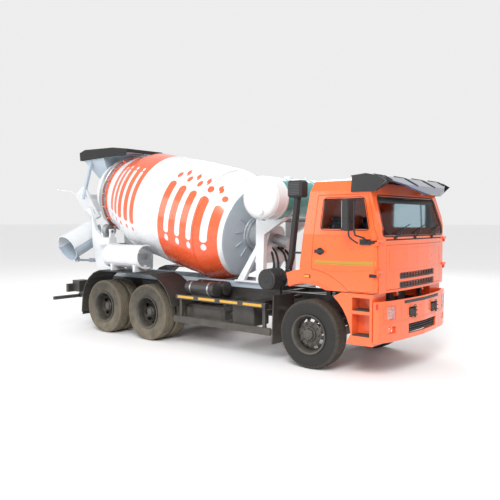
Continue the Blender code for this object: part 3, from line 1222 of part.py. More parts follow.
CAB_TILT = pivot("cab_hinge", (CAB_HINGE_X, 0, CAB_HINGE_Z), Y)
build_cab(CAB_TILT)
build_cab_inside(CAB_TILT)
build_doors(CAB_TILT)
build_visor(CAB_TILT)
build_intake_stack(CAB_TILT)
centre_truck()
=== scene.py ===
"""A concrete mixer truck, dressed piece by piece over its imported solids.

Lengths are metres. The builders below count x from the front axle, as a truck maker's drawing
does, and `Layout.at` turns such a place into the row frame.
"""
from __future__ import annotations

import logging
import math
from dataclasses import dataclass, field
from enum import Enum
from typing import Iterable, Sequence

import bmesh
import bpy
from mathutils import Matrix, Vector
from mathutils.bvhtree import BVHTree


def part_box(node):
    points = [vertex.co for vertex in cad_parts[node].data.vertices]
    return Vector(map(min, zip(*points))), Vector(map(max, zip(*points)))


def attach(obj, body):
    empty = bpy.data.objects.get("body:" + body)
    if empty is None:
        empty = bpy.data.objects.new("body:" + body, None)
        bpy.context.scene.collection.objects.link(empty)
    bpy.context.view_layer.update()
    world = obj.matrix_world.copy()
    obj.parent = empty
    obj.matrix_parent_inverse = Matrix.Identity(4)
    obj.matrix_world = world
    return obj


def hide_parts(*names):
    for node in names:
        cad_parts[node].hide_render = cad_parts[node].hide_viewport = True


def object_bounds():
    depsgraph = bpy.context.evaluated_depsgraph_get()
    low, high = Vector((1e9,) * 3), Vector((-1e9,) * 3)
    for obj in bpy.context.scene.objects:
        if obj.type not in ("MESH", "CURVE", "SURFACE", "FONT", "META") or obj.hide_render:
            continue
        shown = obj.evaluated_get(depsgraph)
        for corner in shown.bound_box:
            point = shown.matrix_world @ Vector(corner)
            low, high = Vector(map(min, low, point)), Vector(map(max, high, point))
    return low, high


LOG = logging.getLogger("mixer_truck")

Rgb = tuple[float, float, float]
Place = tuple[float, float, float]
Flat = tuple[float, float]

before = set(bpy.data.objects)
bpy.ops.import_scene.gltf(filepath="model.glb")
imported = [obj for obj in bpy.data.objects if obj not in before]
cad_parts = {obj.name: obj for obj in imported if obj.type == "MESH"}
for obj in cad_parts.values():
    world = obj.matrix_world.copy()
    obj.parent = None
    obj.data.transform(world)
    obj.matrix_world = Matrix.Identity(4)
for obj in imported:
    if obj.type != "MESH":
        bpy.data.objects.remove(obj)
CAD_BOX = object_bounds()


class Side(Enum):
    """A side of the truck, with its sign along Y."""

    RIGHT = -1
    LEFT = 1

    @property
    def word(self) -> str:
        """The side's name as node and body names spell it."""
        return self.name.lower()


class Slot(Enum):
    """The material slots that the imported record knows."""

    ORANGE = "orange"
    WHITE = "white"
    DRUM_WHITE = "drum_white"
    GREY_BLUE = "grey_blue"
    TEAL = "teal"
    CHASSIS_BLACK = "chassis_black"
    PLASTIC_BLACK = "plastic_black"
    INTERIOR = "interior"
    RUBBER = "rubber"
    TYRE = "tyre"
    STEEL = "steel"
    CAST_IRON = "cast_iron"
    GLASS = "glass"
    VISOR = "visor"
    FABRIC = "fabric"


@dataclass(frozen=True)
class Layout:
    """Main stations of the truck, measured from the front axle."""

    axle_x: float
    bogie_middle: float = -3.69
    bogie_rear: float = -5.01
    hub_height: float = 0.54
    drum_front: Place = (-2.05, 0.0, 2.10)
    drum_slope: float = math.radians(13.0)

    def at(self, x: float, y: float, z: float) -> Vector:
        """A place counted from the front axle, in the row frame."""
        return Vector((self.axle_x + x, y, z))

    @property
    def drum_axis(self) -> Vector:
        """Unit direction from the drum's front head to its mouth."""
        return Vector((-math.cos(self.drum_slope), 0.0, math.sin(self.drum_slope)))

    @property
    def drum_up(self) -> Vector:
        """Unit direction square to the drum's axis, upward."""
        return Vector((math.sin(self.drum_slope), 0.0, math.cos(self.drum_slope)))

    def on_drum(self, station: float, out: float = 0.0, side: float = 0.0) -> Vector:
        """A place at a station along the drum's axis, raised and moved sideways from it."""
        return self.at(*self.drum_front) + self.drum_axis * station + self.drum_up * out + Vector((0, side, 0))


def front_axle_x() -> float:
    """The front axle's x in the row frame, read from the right front wheel."""
    low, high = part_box("front_wheel_right")
    return (low[0] + high[0]) / 2


LAYOUT = Layout(front_axle_x())


# ---------------------------------------------------------------- shader arithmetic
class Field:
    """A number that varies over a surface, carried by one node output of a shader tree."""

    def __init__(self, tree: bpy.types.NodeTree, socket: bpy.types.NodeSocket) -> None:
        """Keeps the tree and the output socket."""
        self.tree = tree
        self.socket = socket

    def math(self, operation: str, *others: "Field | float", clamp: bool = False) -> "Field":
        """Applies one math node.

        Args:
            operation: The math node's operation name.
            others: The second and third inputs, as fields or plain numbers.
            clamp: Whether the result is kept between 0 and 1.

        Returns:
            The result as a new field.
        """
        node = self.tree.nodes.new("ShaderNodeMath")
        node.operation = operation
        node.use_clamp = clamp
        self.tree.links.new(self.socket, node.inputs[0])
        for index, other in enumerate(others, start=1):
            if isinstance(other, Field):
                self.tree.links.new(other.socket, node.inputs[index])
            else:
                node.inputs[index].default_value = other
        return Field(self.tree, node.outputs[0])

    def __add__(self, other: "Field | float") -> "Field":
        """Sum."""
        return self.math("ADD", other)

    def __sub__(self, other: "Field | float") -> "Field":
        """Difference."""
        return self.math("SUBTRACT", other)

    def __mul__(self, other: "Field | float") -> "Field":
        """Product."""
        return self.math("MULTIPLY", other)

    def __truediv__(self, other: "Field | float") -> "Field":
        """Quotient."""
        return self.math("DIVIDE", other)

    def both(self, other: "Field | float") -> "Field":
        """Where this mask and the other one both hold."""
        return self.math("MINIMUM", other)

    def either(self, other: "Field | float") -> "Field":
        """Where this mask or the other one holds."""
        return self.math("MAXIMUM", other)

    def without(self, other: "Field") -> "Field":
        """Where this mask holds and the other one doesn't."""
        return self.math("SUBTRACT", other, clamp=True)

    def below(self, limit: "Field | float", soft: float = 0.003) -> "Field":
        """A mask of where the field is under a limit, with a soft edge of the given half width."""
        gap = (self - limit) * (-0.5 / soft) + 0.5
        return gap.math("ADD", 0.0, clamp=True)

    def above(self, limit: "Field | float", soft: float = 0.003) -> "Field":
        """A mask of where the field is over a limit."""
        gap = (self - limit) * (0.5 / soft) + 0.5
        return gap.math("ADD", 0.0, clamp=True)

    def within(self, low: float, high: float, soft: float = 0.003) -> "Field":
        """A mask of where the field lies between two limits."""
        return self.above(low, soft).both(self.below(high, soft))

    def length_with(self, other: "Field") -> "Field":
        """The root of the sum of the two squares."""
        return (self * self + other * other).math("SQRT")


class Surface:
    """The coordinates and patterns that a finish may draw on."""

    def __init__(self, tree: bpy.types.NodeTree) -> None:
        """Adds the object coordinates to a tree."""
        self.tree = tree
        self.coordinates = tree.nodes.new("ShaderNodeTexCoord").outputs["Object"]
        split = tree.nodes.new("ShaderNodeSeparateXYZ")
        tree.links.new(self.coordinates, split.inputs[0])
        self.x, self.y, self.z = (Field(tree, split.outputs[i]) for i in range(3))

    def noise(self, scale: float, detail: float = 4.0, stretch: Place = (1.0, 1.0, 1.0)) -> Field:
        """A noise field.

        Args:
            scale: Waves per metre.
            detail: Octaves of finer noise.
            stretch: How much each axis is scaled before the noise is read.

        Returns:
            The noise between 0 and 1.
        """
        mapping = self.tree.nodes.new("ShaderNodeMapping")
        mapping.inputs["Scale"].default_value = stretch
        self.tree.links.new(self.coordinates, mapping.inputs["Vector"])
        node = self.tree.nodes.new("ShaderNodeTexNoise")
        node.inputs["Scale"].default_value = scale
        node.inputs["Detail"].default_value = detail
        self.tree.links.new(mapping.outputs[0], node.inputs["Vector"])
        return Field(self.tree, node.outputs["Fac"])

    def wave(self, scale: float, direction: str = "X") -> Field:
        """Straight bands along an axis, between 0 and 1."""
        node = self.tree.nodes.new("ShaderNodeTexWave")
        node.bands_direction = direction
        node.inputs["Scale"].default_value = scale
        self.tree.links.new(self.coordinates, node.inputs["Vector"])
        return Field(self.tree, node.outputs["Fac"])

    def mix(self, mask: Field, under: "Rgb | bpy.types.NodeSocket", over: "Rgb | bpy.types.NodeSocket") -> bpy.types.NodeSocket:
        """Mixes two colours by a mask.

        Args:
            mask: 0 shows the first colour and 1 the second.
            under: The first colour, plain or as a socket.
            over: The second colour.

        Returns:
            The mixed colour's socket.
        """
        node = self.tree.nodes.new("ShaderNodeMix")
        node.data_type = "RGBA"
        self.tree.links.new(mask.socket, node.inputs["Factor"])
        for socket, value in ((node.inputs[6], under), (node.inputs[7], over)):
            if isinstance(value, bpy.types.NodeSocket):
                self.tree.links.new(value, socket)
            else:
                socket.default_value = (*value, 1.0)
        return node.outputs[2]

    def bump(self, height: Field, distance: float, strength: float = 1.0, normal: bpy.types.NodeSocket | None = None) -> bpy.types.NodeSocket:
        """A bumped normal from a height field, on top of another normal if one is given."""
        node = self.tree.nodes.new("ShaderNodeBump")
        node.inputs["Distance"].default_value = distance
        node.inputs["Strength"].default_value = strength
        self.tree.links.new(height.socket, node.inputs["Height"])
        if normal is not None:
            self.tree.links.new(normal, node.inputs["Normal"])
        return node.outputs[0]

    def eased_edges(self, radius: float) -> bpy.types.NodeSocket:
        """A normal that turns softly over sharp edges within a radius."""
        node = self.tree.nodes.new("ShaderNodeBevel")
        node.samples = 6
        node.inputs["Radius"].default_value = radius
        return node.outputs[0]


# ---------------------------------------------------------------- finishes
@dataclass(frozen=True)
class Finish:
    """A procedural finish: a base colour with mottle, grain, dust and softened edges."""

    name: str
    slot: Slot
    colour: Rgb
    roughness: float = 0.45
    metallic: float = 0.0
    coat: float = 0.0
    mottle: float = 0.10
    mottle_scale: float = 2.5
    grain: float = 0.0
    grain_scale: float = 260.0
    dust: float = 0.0
    dust_colour: Rgb = (0.30, 0.26, 0.20)
    edge: float = 0.004

    def base_colour(self, surface: Surface) -> bpy.types.NodeSocket:
        """The colour before dust is laid on it: the plain colour with a slow mottle."""
        deep = tuple(c * (1.0 - self.mottle) for c in self.colour)
        light = tuple(min(c * (1.0 + self.mottle), 1.0) for c in self.colour)
        return surface.mix(surface.noise(self.mottle_scale), deep, light)

    def tune(self, shader: bpy.types.Node, surface: Surface) -> None:
        """Sets what one kind of finish adds to the shader."""

    def material(self) -> bpy.types.Material:
        """Builds the finish once.

        Returns:
            The material of this name, new or from an earlier call.
        """
        found = bpy.data.materials.get(self.name)
        if found is not None:
            return found
        made = bpy.data.materials.new(self.name)
        made.use_nodes = True
        made.diffuse_color = (*self.colour, 1.0)
        tree = made.node_tree
        shader = tree.nodes["Principled BSDF"]
        surface = Surface(tree)
        colour = self.base_colour(surface)
        if self.dust > 0.0:
            low = surface.z.math("MULTIPLY_ADD", -0.8, 1.1, clamp=True)
            film = (low * surface.noise(6.0, 6.0) * self.dust).math("MULTIPLY", 1.5, clamp=True)
            colour = surface.mix(film, colour, self.dust_colour)
        tree.links.new(colour, shader.inputs["Base Color"])
        rough = surface.noise(14.0, 5.0) * 0.16 + (self.roughness - 0.08)
        tree.links.new(rough.socket, shader.inputs["Roughness"])
        shader.inputs["Metallic"].default_value = self.metallic
        if self.coat:
            shader.inputs["Coat Weight"].default_value = self.coat
            shader.inputs["Coat Roughness"].default_value = 0.06
        normal = surface.eased_edges(self.edge) if self.edge else None
        if self.grain:
            normal = surface.bump(surface.noise(self.grain_scale, 2.0), 0.001, self.grain, normal)
        if normal is not None:
            tree.links.new(normal, shader.inputs["Normal"])
        self.tune(shader, surface)
        return made


@dataclass(frozen=True)
class Fabric(Finish):
    """A woven seat cover."""

    def tune(self, shader: bpy.types.Node, surface: Surface) -> None:
        """Adds sheen and a two-way weave."""
        shader.inputs["Sheen Weight"].default_value = 0.4
        weave = surface.wave(160.0, "Y") * surface.wave(160.0, "Z")
        surface.tree.links.new(surface.bump(weave, 0.0008, 0.7), shader.inputs["Normal"])


@dataclass(frozen=True)
class Glazing(Finish):
    """Clear or tinted sheet that lets light through."""

    clear: float = 1.0

    def tune(self, shader: bpy.types.Node, surface: Surface) -> None:
        """Opens the sheet to light."""
        shader.inputs["Transmission Weight"].default_value = self.clear
        shader.inputs["IOR"].default_value = 1.10


@dataclass(frozen=True)
class Glow(Finish):
    """A coloured lens over a lamp."""

    light: float = 0.25

    def tune(self, shader: bpy.types.Node, surface: Surface) -> None:
        """Adds a faint glow and the ribs of a moulded lens."""
        shader.inputs["Emission Color"].default_value = (*self.colour, 1.0)
        shader.inputs["Emission Strength"].default_value = self.light
        ribs = surface.wave(40.0, "Y") + surface.wave(40.0, "Z")
        surface.tree.links.new(surface.bump(ribs, 0.002, 0.6), shader.inputs["Normal"])


@dataclass(frozen=True)
class Brushed(Finish):
    """Bare metal with fine lines drawn along one axis."""

    lines: Place = (1.0, 30.0, 1.0)

    def base_colour(self, surface: Surface) -> bpy.types.NodeSocket:
        """The metal with darker brush lines."""
        dark = tuple(c * 0.7 for c in self.colour)
        return surface.mix(surface.noise(40.0, 6.0, self.lines), dark, self.colour)


@dataclass(frozen=True)
class TyreRubber(Finish):
    """Tyre rubber whose tread holds pale dust."""

    hub: Flat = (0.0, 0.54)
    tread: float = 0.50

    def base_colour(self, surface: Surface) -> bpy.types.NodeSocket:
        """Black rubber, dusty beyond the tread's radius round the nearest wheel's middle."""
        plain = super().base_colour(surface)
        radius = (surface.x - self.hub[0]).length_with(surface.z - self.hub[1])
        dusty = radius.above(self.tread, 0.02) * surface.noise(30.0, 6.0)
        return surface.mix(dusty.math("MULTIPLY", 1.0 if self.dust else 0.35, clamp=True), plain, self.dust_colour)


@dataclass(frozen=True)
class VisorSheet(Finish):
    """The tinted visor, black at both ends."""

    tinted_half: float = 0.93

    def base_colour(self, surface: Surface) -> bpy.types.NodeSocket:
        """Tinted in the middle, black beyond it."""
        ends = surface.y.math("ABSOLUTE").above(self.tinted_half)
        return surface.mix(ends, super().base_colour(surface), (0.012, 0.012, 0.013))


@dataclass(frozen=True)
class TankPaint(Finish):
    """The water tank: a coloured barrel between white ends."""

    barrel: Rgb = (0.0, 0.27, 0.26)
    barrel_half: float = 0.66

    def base_colour(self, surface: Surface) -> bpy.types.NodeSocket:
        """White, with the coloured barrel across the middle."""
        across = surface.y.math("ABSOLUTE")
        return surface.mix(across.below(self.barrel_half), super().base_colour(surface), self.barrel)


@dataclass(frozen=True)
class Fingers:
    """A row of round-ended bars that rise round the drum from a solid band, with dots beyond them."""

    first: float            # station of the first bar's middle
    pitch: float
    count: int
    half: float             # half width of a bar
    base: float             # arc height where the slits between bars end
    top: float              # arc height of the first bar's tip
    fall: float             # how much lower each next tip is
    dot: Flat = (0.052, 0.075)
    gap: float = 0.17       # from a tip to the dot's middle
    second_row: bool = True

    def mask(self, station: Field, arc: Field) -> Field:
        """Draws the pattern.

        Args:
            station: Distance along the drum's axis.
            arc: Distance round the drum, growing away from the solid band.

        Returns:
            A mask that is 1 on the coloured areas.
        """
        step = (station - self.first) / self.pitch
        last = float(self.count - 1)
        bar = step.math("ROUND").math("MAXIMUM", 0.0).math("MINIMUM", last)
        slit = step.math("FLOOR").math("MAXIMUM", 0.0).math("MINIMUM", last - 1.0)
        across_bar = (step - bar) * self.pitch
        across_slit = (step - slit - 0.5) * self.pitch
        tip = bar * -self.fall + self.top
        crown = (arc - tip + self.half).math("MAXIMUM", 0.0)
        bars = across_bar.length_with(crown).below(self.half)
        room = self.pitch / 2 - self.half
        foot = (arc - (self.base + room)).math("MINIMUM", 0.0)
        slits = across_slit.length_with(foot).below(room)
        inside = station.within(self.first - self.half, self.first + last * self.pitch + self.half)
        band = arc.below(self.base + room).both(inside).without(slits)
        oval = (across_slit / 0.72).length_with(arc - (self.base - room * 1.6)).below(room * 1.1)
        band = band.without(oval)
        dots = self._dot(across_bar, arc - tip - self.gap).both(inside)
        shape = bars.either(band).either(dots)
        if self.second_row:
            shape = shape.either(self._dot(across_slit, arc - tip - self.gap * 1.75).both(inside))
        return shape

    def _dot(self, across: Field, along: Field) -> Field:
        """One upright oval."""
        return (across / self.dot[0]).length_with(along / self.dot[1]).below(1.0, 0.03)


@dataclass(frozen=True)
class DrumPaint(Finish):
    """The drum: white, with a barred band on its front third and another on its rear cone."""

    stripe: Rgb = (0.84, 0.115, 0.035)
    girth: float = 1.10
    front: Fingers = Fingers(first=0.17, pitch=0.305, count=5, half=0.088, base=-0.30, top=0.55, fall=-0.045)
    rear: Fingers = Fingers(first=2.30, pitch=0.20, count=5, half=0.062, base=-0.75, top=0.40, fall=0.02,
                            dot=(0.032, 0.05), gap=0.12, second_row=False)

    def base_colour(self, surface: Surface) -> bpy.types.NodeSocket:
        """White with the two barred bands and the solid band at the track ring."""
        origin, axis, up = LAYOUT.at(*LAYOUT.drum_front), LAYOUT.drum_axis, LAYOUT.drum_up
        x, z = surface.x - origin.x, surface.z - origin.z
        station = x * axis.x + z * axis.z
        height = x * up.x + z * up.z
        side = surface.y.math("ABSOLUTE")
        arc = height.math("ARCTAN2", side) * self.girth
        bars = self.front.mask(station, arc)
        rear = self.rear.mask(station, arc * -1.0)
        ring = station.within(3.40, 3.54)
        marks = bars.either(rear).either(ring)
        white = super().base_colour(surface)
        streaks = surface.noise(5.0, 6.0, (1.0, 1.0, 0.25)).math("MULTIPLY_ADD", 0.5, -0.12, clamp=True)
        white = surface.mix(streaks, white, tuple(c * 0.82 for c in self.colour))
        return surface.mix(marks, white, self.stripe)


@dataclass(frozen=True)
class Finishes:
    """Every finish on the truck."""

    cab: Finish = Finish("cab_orange_paint", Slot.ORANGE, (0.90, 0.125, 0.022), 0.30, coat=0.6, mottle=0.05, edge=0.010, dust=0.15)
    white: Finish = Finish("white_body_paint", Slot.WHITE, (0.72, 0.74, 0.76), 0.38, coat=0.3, mottle=0.06, edge=0.006, dust=0.25)
    drum: Finish = DrumPaint("drum_paint", Slot.DRUM_WHITE, (0.74, 0.76, 0.78), 0.26, coat=0.5, mottle=0.03, edge=0.0)
    drum_head: Finish = Finish("drum_head_paint", Slot.GREY_BLUE, (0.42, 0.47, 0.52), 0.40, coat=0.3, mottle=0.08, edge=0.0, dust=0.3)
    frame_grey: Finish = Finish("subframe_paint", Slot.GREY_BLUE, (0.42, 0.49, 0.56), 0.42, coat=0.2, mottle=0.08, edge=0.005, dust=0.4)
    tank: Finish = TankPaint("water_tank_paint", Slot.TEAL, (0.74, 0.76, 0.77), 0.25, coat=0.6, mottle=0.04, edge=0.0)
    chassis: Finish = Finish("chassis_black_paint", Slot.CHASSIS_BLACK, (0.013, 0.013, 0.014), 0.48, coat=0.2, mottle=0.25, dust=0.30)
    moulding: Finish = Finish("black_moulding", Slot.PLASTIC_BLACK, (0.018, 0.018, 0.019), 0.55, mottle=0.15, grain=0.25, dust=0.25)
    trim: Finish = Finish("dashboard_grain", Slot.INTERIOR, (0.085, 0.085, 0.09), 0.70, mottle=0.15, grain=0.3)
    rubber: Finish = Finish("soft_rubber", Slot.RUBBER, (0.016, 0.016, 0.016), 0.75, mottle=0.3, grain=0.4, grain_scale=90.0)
    steel: Finish = Brushed("ground_steel", Slot.STEEL, (0.52, 0.53, 0.54), 0.34, 1.0)
    bright: Finish = Brushed("bright_metal", Slot.STEEL, (0.72, 0.73, 0.74), 0.22, 1.0, lines=(1.0, 1.0, 20.0))
    casting: Finish = Finish("rough_casting", Slot.CAST_IRON, (0.09, 0.09, 0.095), 0.62, 0.5, mottle=0.3, grain=0.6, grain_scale=120.0)
    silver: Finish = Finish("gearbox_silver", Slot.GREY_BLUE, (0.50, 0.53, 0.55), 0.40, 0.5, mottle=0.12, grain=0.4, grain_scale=150.0)
    glass: Finish = Glazing("window_glass", Slot.GLASS, (0.62, 0.72, 0.76), 0.10, mottle=0.0, edge=0.0)
    lens: Finish = Glazing("lamp_glass", Slot.GLASS, (0.95, 0.96, 0.97), 0.12, mottle=0.0, edge=0.0, clear=0.85)
    mirror: Finish = Finish("mirror_face", Slot.STEEL, (0.80, 0.83, 0.85), 0.12, 1.0, mottle=0.02, edge=0.0)
    visor: Finish = VisorSheet("tinted_visor", Slot.VISOR, (0.010, 0.024, 0.085), 0.20, coat=0.8, mottle=0.25, mottle_scale=1.2, edge=0.004)
    fabric: Finish = Fabric("seat_cloth", Slot.FABRIC, (0.05, 0.055, 0.075), 0.90, edge=0.0)
    louvre: Finish = Finish("louvre_grey", Slot.PLASTIC_BLACK, (0.045, 0.048, 0.05), 0.50, mottle=0.15, edge=0.002)
    tape: Finish = Finish("reflective_tape", Slot.ORANGE, (0.62, 0.33, 0.02), 0.35, coat=0.5, mottle=0.12, mottle_scale=30.0, edge=0.0)
    door_tape: Finish = Finish("door_tape", Slot.ORANGE, (0.40, 0.23, 0.02), 0.40, mottle=0.08, mottle_scale=40.0, edge=0.0)
    amber: Finish = Glow("amber_lens", Slot.VISOR, (0.95, 0.28, 0.01), 0.15, coat=0.5, edge=0.0)
    red: Finish = Glow("red_lens", Slot.VISOR, (0.55, 0.008, 0.006), 0.15, coat=0.5, edge=0.0)
    clear: Finish = Glow("clear_lens", Slot.VISOR, (0.75, 0.76, 0.74), 0.15, coat=0.6, light=0.05, edge=0.0)

    def tyre(self, hub: Flat, dust: float) -> Finish:
        """Tyre rubber for the wheels round one hub.

        Args:
            hub: The hub's x and z.
            dust: 1 on the dusty drive wheels, 0 on clean ones.

        Returns:
            The finish for that hub.
        """
        name = f"tyre_rubber_{round(hub[0] * 1000):d}".replace("-", "m")
        return TyreRubber(name, Slot.TYRE, (0.020, 0.019, 0.018), 0.80, mottle=0.2, grain=0.3, grain_scale=70.0,
                          dust=dust, dust_colour=(0.20, 0.17, 0.12), edge=0.0, hub=hub)


FINISH = Finishes()


# ---------------------------------------------------------------- the bench
class Bench:
    """Mesh tools shared by all sub-assemblies."""

    made: int = 0

    @staticmethod
    def take(name: str, shape: bmesh.types.BMesh, finish: Finish, smooth: float = 35.0) -> bpy.types.Object:
        """Turns a finished bmesh into a shaded object.

        Args:
            name: The piece's name.
            shape: The bmesh, freed here.
            finish: The piece's finish.
            smooth: Edges turning less than this many degrees are shaded smooth.

        Returns:
            The linked object.
        """
        bmesh.ops.recalc_face_normals(shape, faces=shape.faces)
        limit = math.radians(smooth)
        for face in shape.faces:
            face.smooth = smooth > 0
        for edge in shape.edges:
            if len(edge.link_faces) == 2 and edge.calc_face_angle(0.0) > limit:
                edge.smooth = False
        mesh = bpy.data.meshes.new(name)
        shape.to_mesh(mesh)
        shape.free()
        obj = bpy.data.objects.new(name, mesh)
        bpy.context.scene.collection.objects.link(obj)
        mesh.materials.append(finish.material())
        return obj

    @staticmethod
    def ride(obj: bpy.types.Object, body: str, finish: Finish, stands_for: Sequence[str] = ()) -> bpy.types.Object:
        """Puts a piece on its body and hides the nodes that it stands for."""
        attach(obj, body)
        if stands_for:
            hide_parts(*stands_for)
        Bench.made += 1
        LOG.info("%s rides on %s", obj.name, body)
        return obj

    @staticmethod
    def slab(shape: bmesh.types.BMesh, low: Place, high: Place, ease: float = 0.004, turn: Matrix | None = None) -> None:
        """Adds a box with eased edges between two corners.

        Args:
            shape: The bmesh to add to.
            low: The lowest corner.
            high: The highest corner.
            ease: The width of the bevel on all edges.
            turn: A placement applied after the box is made.
        """
        size = [abs(b - a) for a, b in zip(low, high)]
        middle = Vector([(a + b) / 2 for a, b in zip(low, high)])
        place = Matrix.Translation(middle) @ Matrix.Diagonal((*size, 1.0))
        made = bmesh.ops.create_cube(shape, size=1.0, matrix=place)
        verts = made["verts"]
        if ease > 0:
            edges = list({e for v in verts for e in v.link_edges})
            cut = bmesh.ops.bevel(shape, geom=edges, offset=min(ease, min(size) * 0.45), segments=2, affect="EDGES", profile=0.5)
            verts = list({v for v in verts if v.is_valid} | {v for f in cut["faces"] for v in f.verts})
        if turn is not None:
            bmesh.ops.transform(shape, matrix=turn, verts=verts)

    @staticmethod
    def lathe(shape: bmesh.types.BMesh, profile: Sequence[Flat], base: Vector, axis: Vector, steps: int = 48,
              closed: bool = False, first: float = 0.0, sweep: float = 360.0) -> list[bmesh.types.BMVert]:
        """Turns a profile about an axis.

        Args:
            shape: The bmesh to add to.
            profile: Pairs of (station along the axis, radius).
            base: The point where stations are counted from.
            axis: The unit direction of growing stations.
            steps: Faces round the axis.
            closed: Whether the profile's last point joins its first.
            first: The angle where the sweep begins, in degrees.
            sweep: How far it goes round, in degrees.

        Returns:
            The new vertices.
        """
        turn = axis.to_track_quat("Z", "Y").to_matrix()
        u, v = turn.col[0], turn.col[1]
        full = sweep >= 359.9
        count = steps if full else steps + 1
        rings: list[list[bmesh.types.BMVert]] = []
        for k in range(count):
            angle = math.radians(first + sweep * k / steps)
            out = u * math.cos(angle) + v * math.sin(angle)
            rings.append([shape.verts.new(base + axis * s + out * max(r, 0.0004)) for s, r in profile])
        reach = len(profile) if closed else len(profile) - 1
        for k in range(steps):
            one, two = rings[k], rings[(k + 1) % count]
            for j in range(reach):
                n = (j + 1) % len(profile)
                shape.faces.new((one[j], one[n], two[n], two[j]))
        return [vert for ring in rings for vert in ring]

    @staticmethod
    def prism(shape: bmesh.types.BMesh, outline: Sequence[Flat], axis: int, low: float, high: float, ease: float = 0.0) -> None:
        """Adds a flat outline drawn out along an axis.

        Args:
            shape: The bmesh to add to.
            outline: The corners, in the other two axes' order.
            axis: 0, 1 or 2 for X, Y or Z.
            low: Where it begins on that axis.
            high: Where it ends.
            ease: The bevel on its edges.
        """
        def corner(point: Flat, depth: float) -> Vector:
            """One corner at a depth along the axis."""
            place = [point[0], point[1]]
            place.insert(axis, depth)
            return Vector(place)

        bottom = [shape.verts.new(corner(p, low)) for p in outline]
        top = [shape.verts.new(corner(p, high)) for p in outline]
        shape.faces.new(bottom)
        shape.faces.new(list(reversed(top)))
        for k in range(len(outline)):
            n = (k + 1) % len(outline)
            shape.faces.new((bottom[k], top[k], top[n], bottom[n]))
        if ease > 0:
            edges = list({e for v in bottom + top for e in v.link_edges})
            bmesh.ops.bevel(shape, geom=edges, offset=ease, segments=2, affect="EDGES", profile=0.5)

    @staticmethod
    def hose(shape: bmesh.types.BMesh, points: Sequence[Vector], radius: float, sides: int = 10, smooth: int = 6) -> None:
        """Sweeps a round section along a smooth path through points.

        Args:
            shape: The bmesh to add to.
            points: The points the path passes through.
            radius: The section's radius.
            sides: Faces round the section.
            smooth: Steps between two points; 1 keeps the path straight between them.
        """
        path: list[Vector] = []
        count = len(points)
        for k in range(count - 1):
            p0, p1, p2, p3 = points[max(k - 1, 0)], points[k], points[k + 1], points[min(k + 2, count - 1)]
            for j in range(smooth):
                t = j / smooth
                path.append(0.5 * ((2 * p1) + (p2 - p0) * t + (2 * p0 - 5 * p1 + 4 * p2 - p3) * t * t
                                   + (3 * p1 - p0 - 3 * p2 + p3) * t ** 3) if smooth > 1 else p1.copy())
        path.append(points[-1].copy())
        across = (path[1] - path[0]).orthogonal().normalized()
        rings = []
        for k, place in enumerate(path):
            ahead = (path[min(k + 1, len(path) - 1)] - path[max(k - 1, 0)]).normalized()
            across = (across - ahead * across.dot(ahead)).normalized()
            up = ahead.cross(across)
            rings.append([shape.verts.new(place + (across * math.cos(a) + up * math.sin(a)) * radius)
                          for a in (math.tau * i / sides for i in range(sides))])
        for one, two in zip(rings, rings[1:]):
            for i in range(sides):
                n = (i + 1) % sides
                shape.faces.new((one[i], one[n], two[n], two[i]))
        shape.faces.new(list(reversed(rings[0])))
        shape.faces.new(rings[-1])

    @staticmethod
    def dress(finish: Finish, *nodes: str) -> None:
        """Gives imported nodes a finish."""
        for name in nodes:
            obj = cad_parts[name]
            obj.data.materials.clear()
            obj.data.materials.append(finish.material())
            LOG.info("%s has the finish %s", name, finish.name)


class Pattern(Enum):
    """How a repeater sets its copies out."""

    RING = "ring"
    ROW = "row"


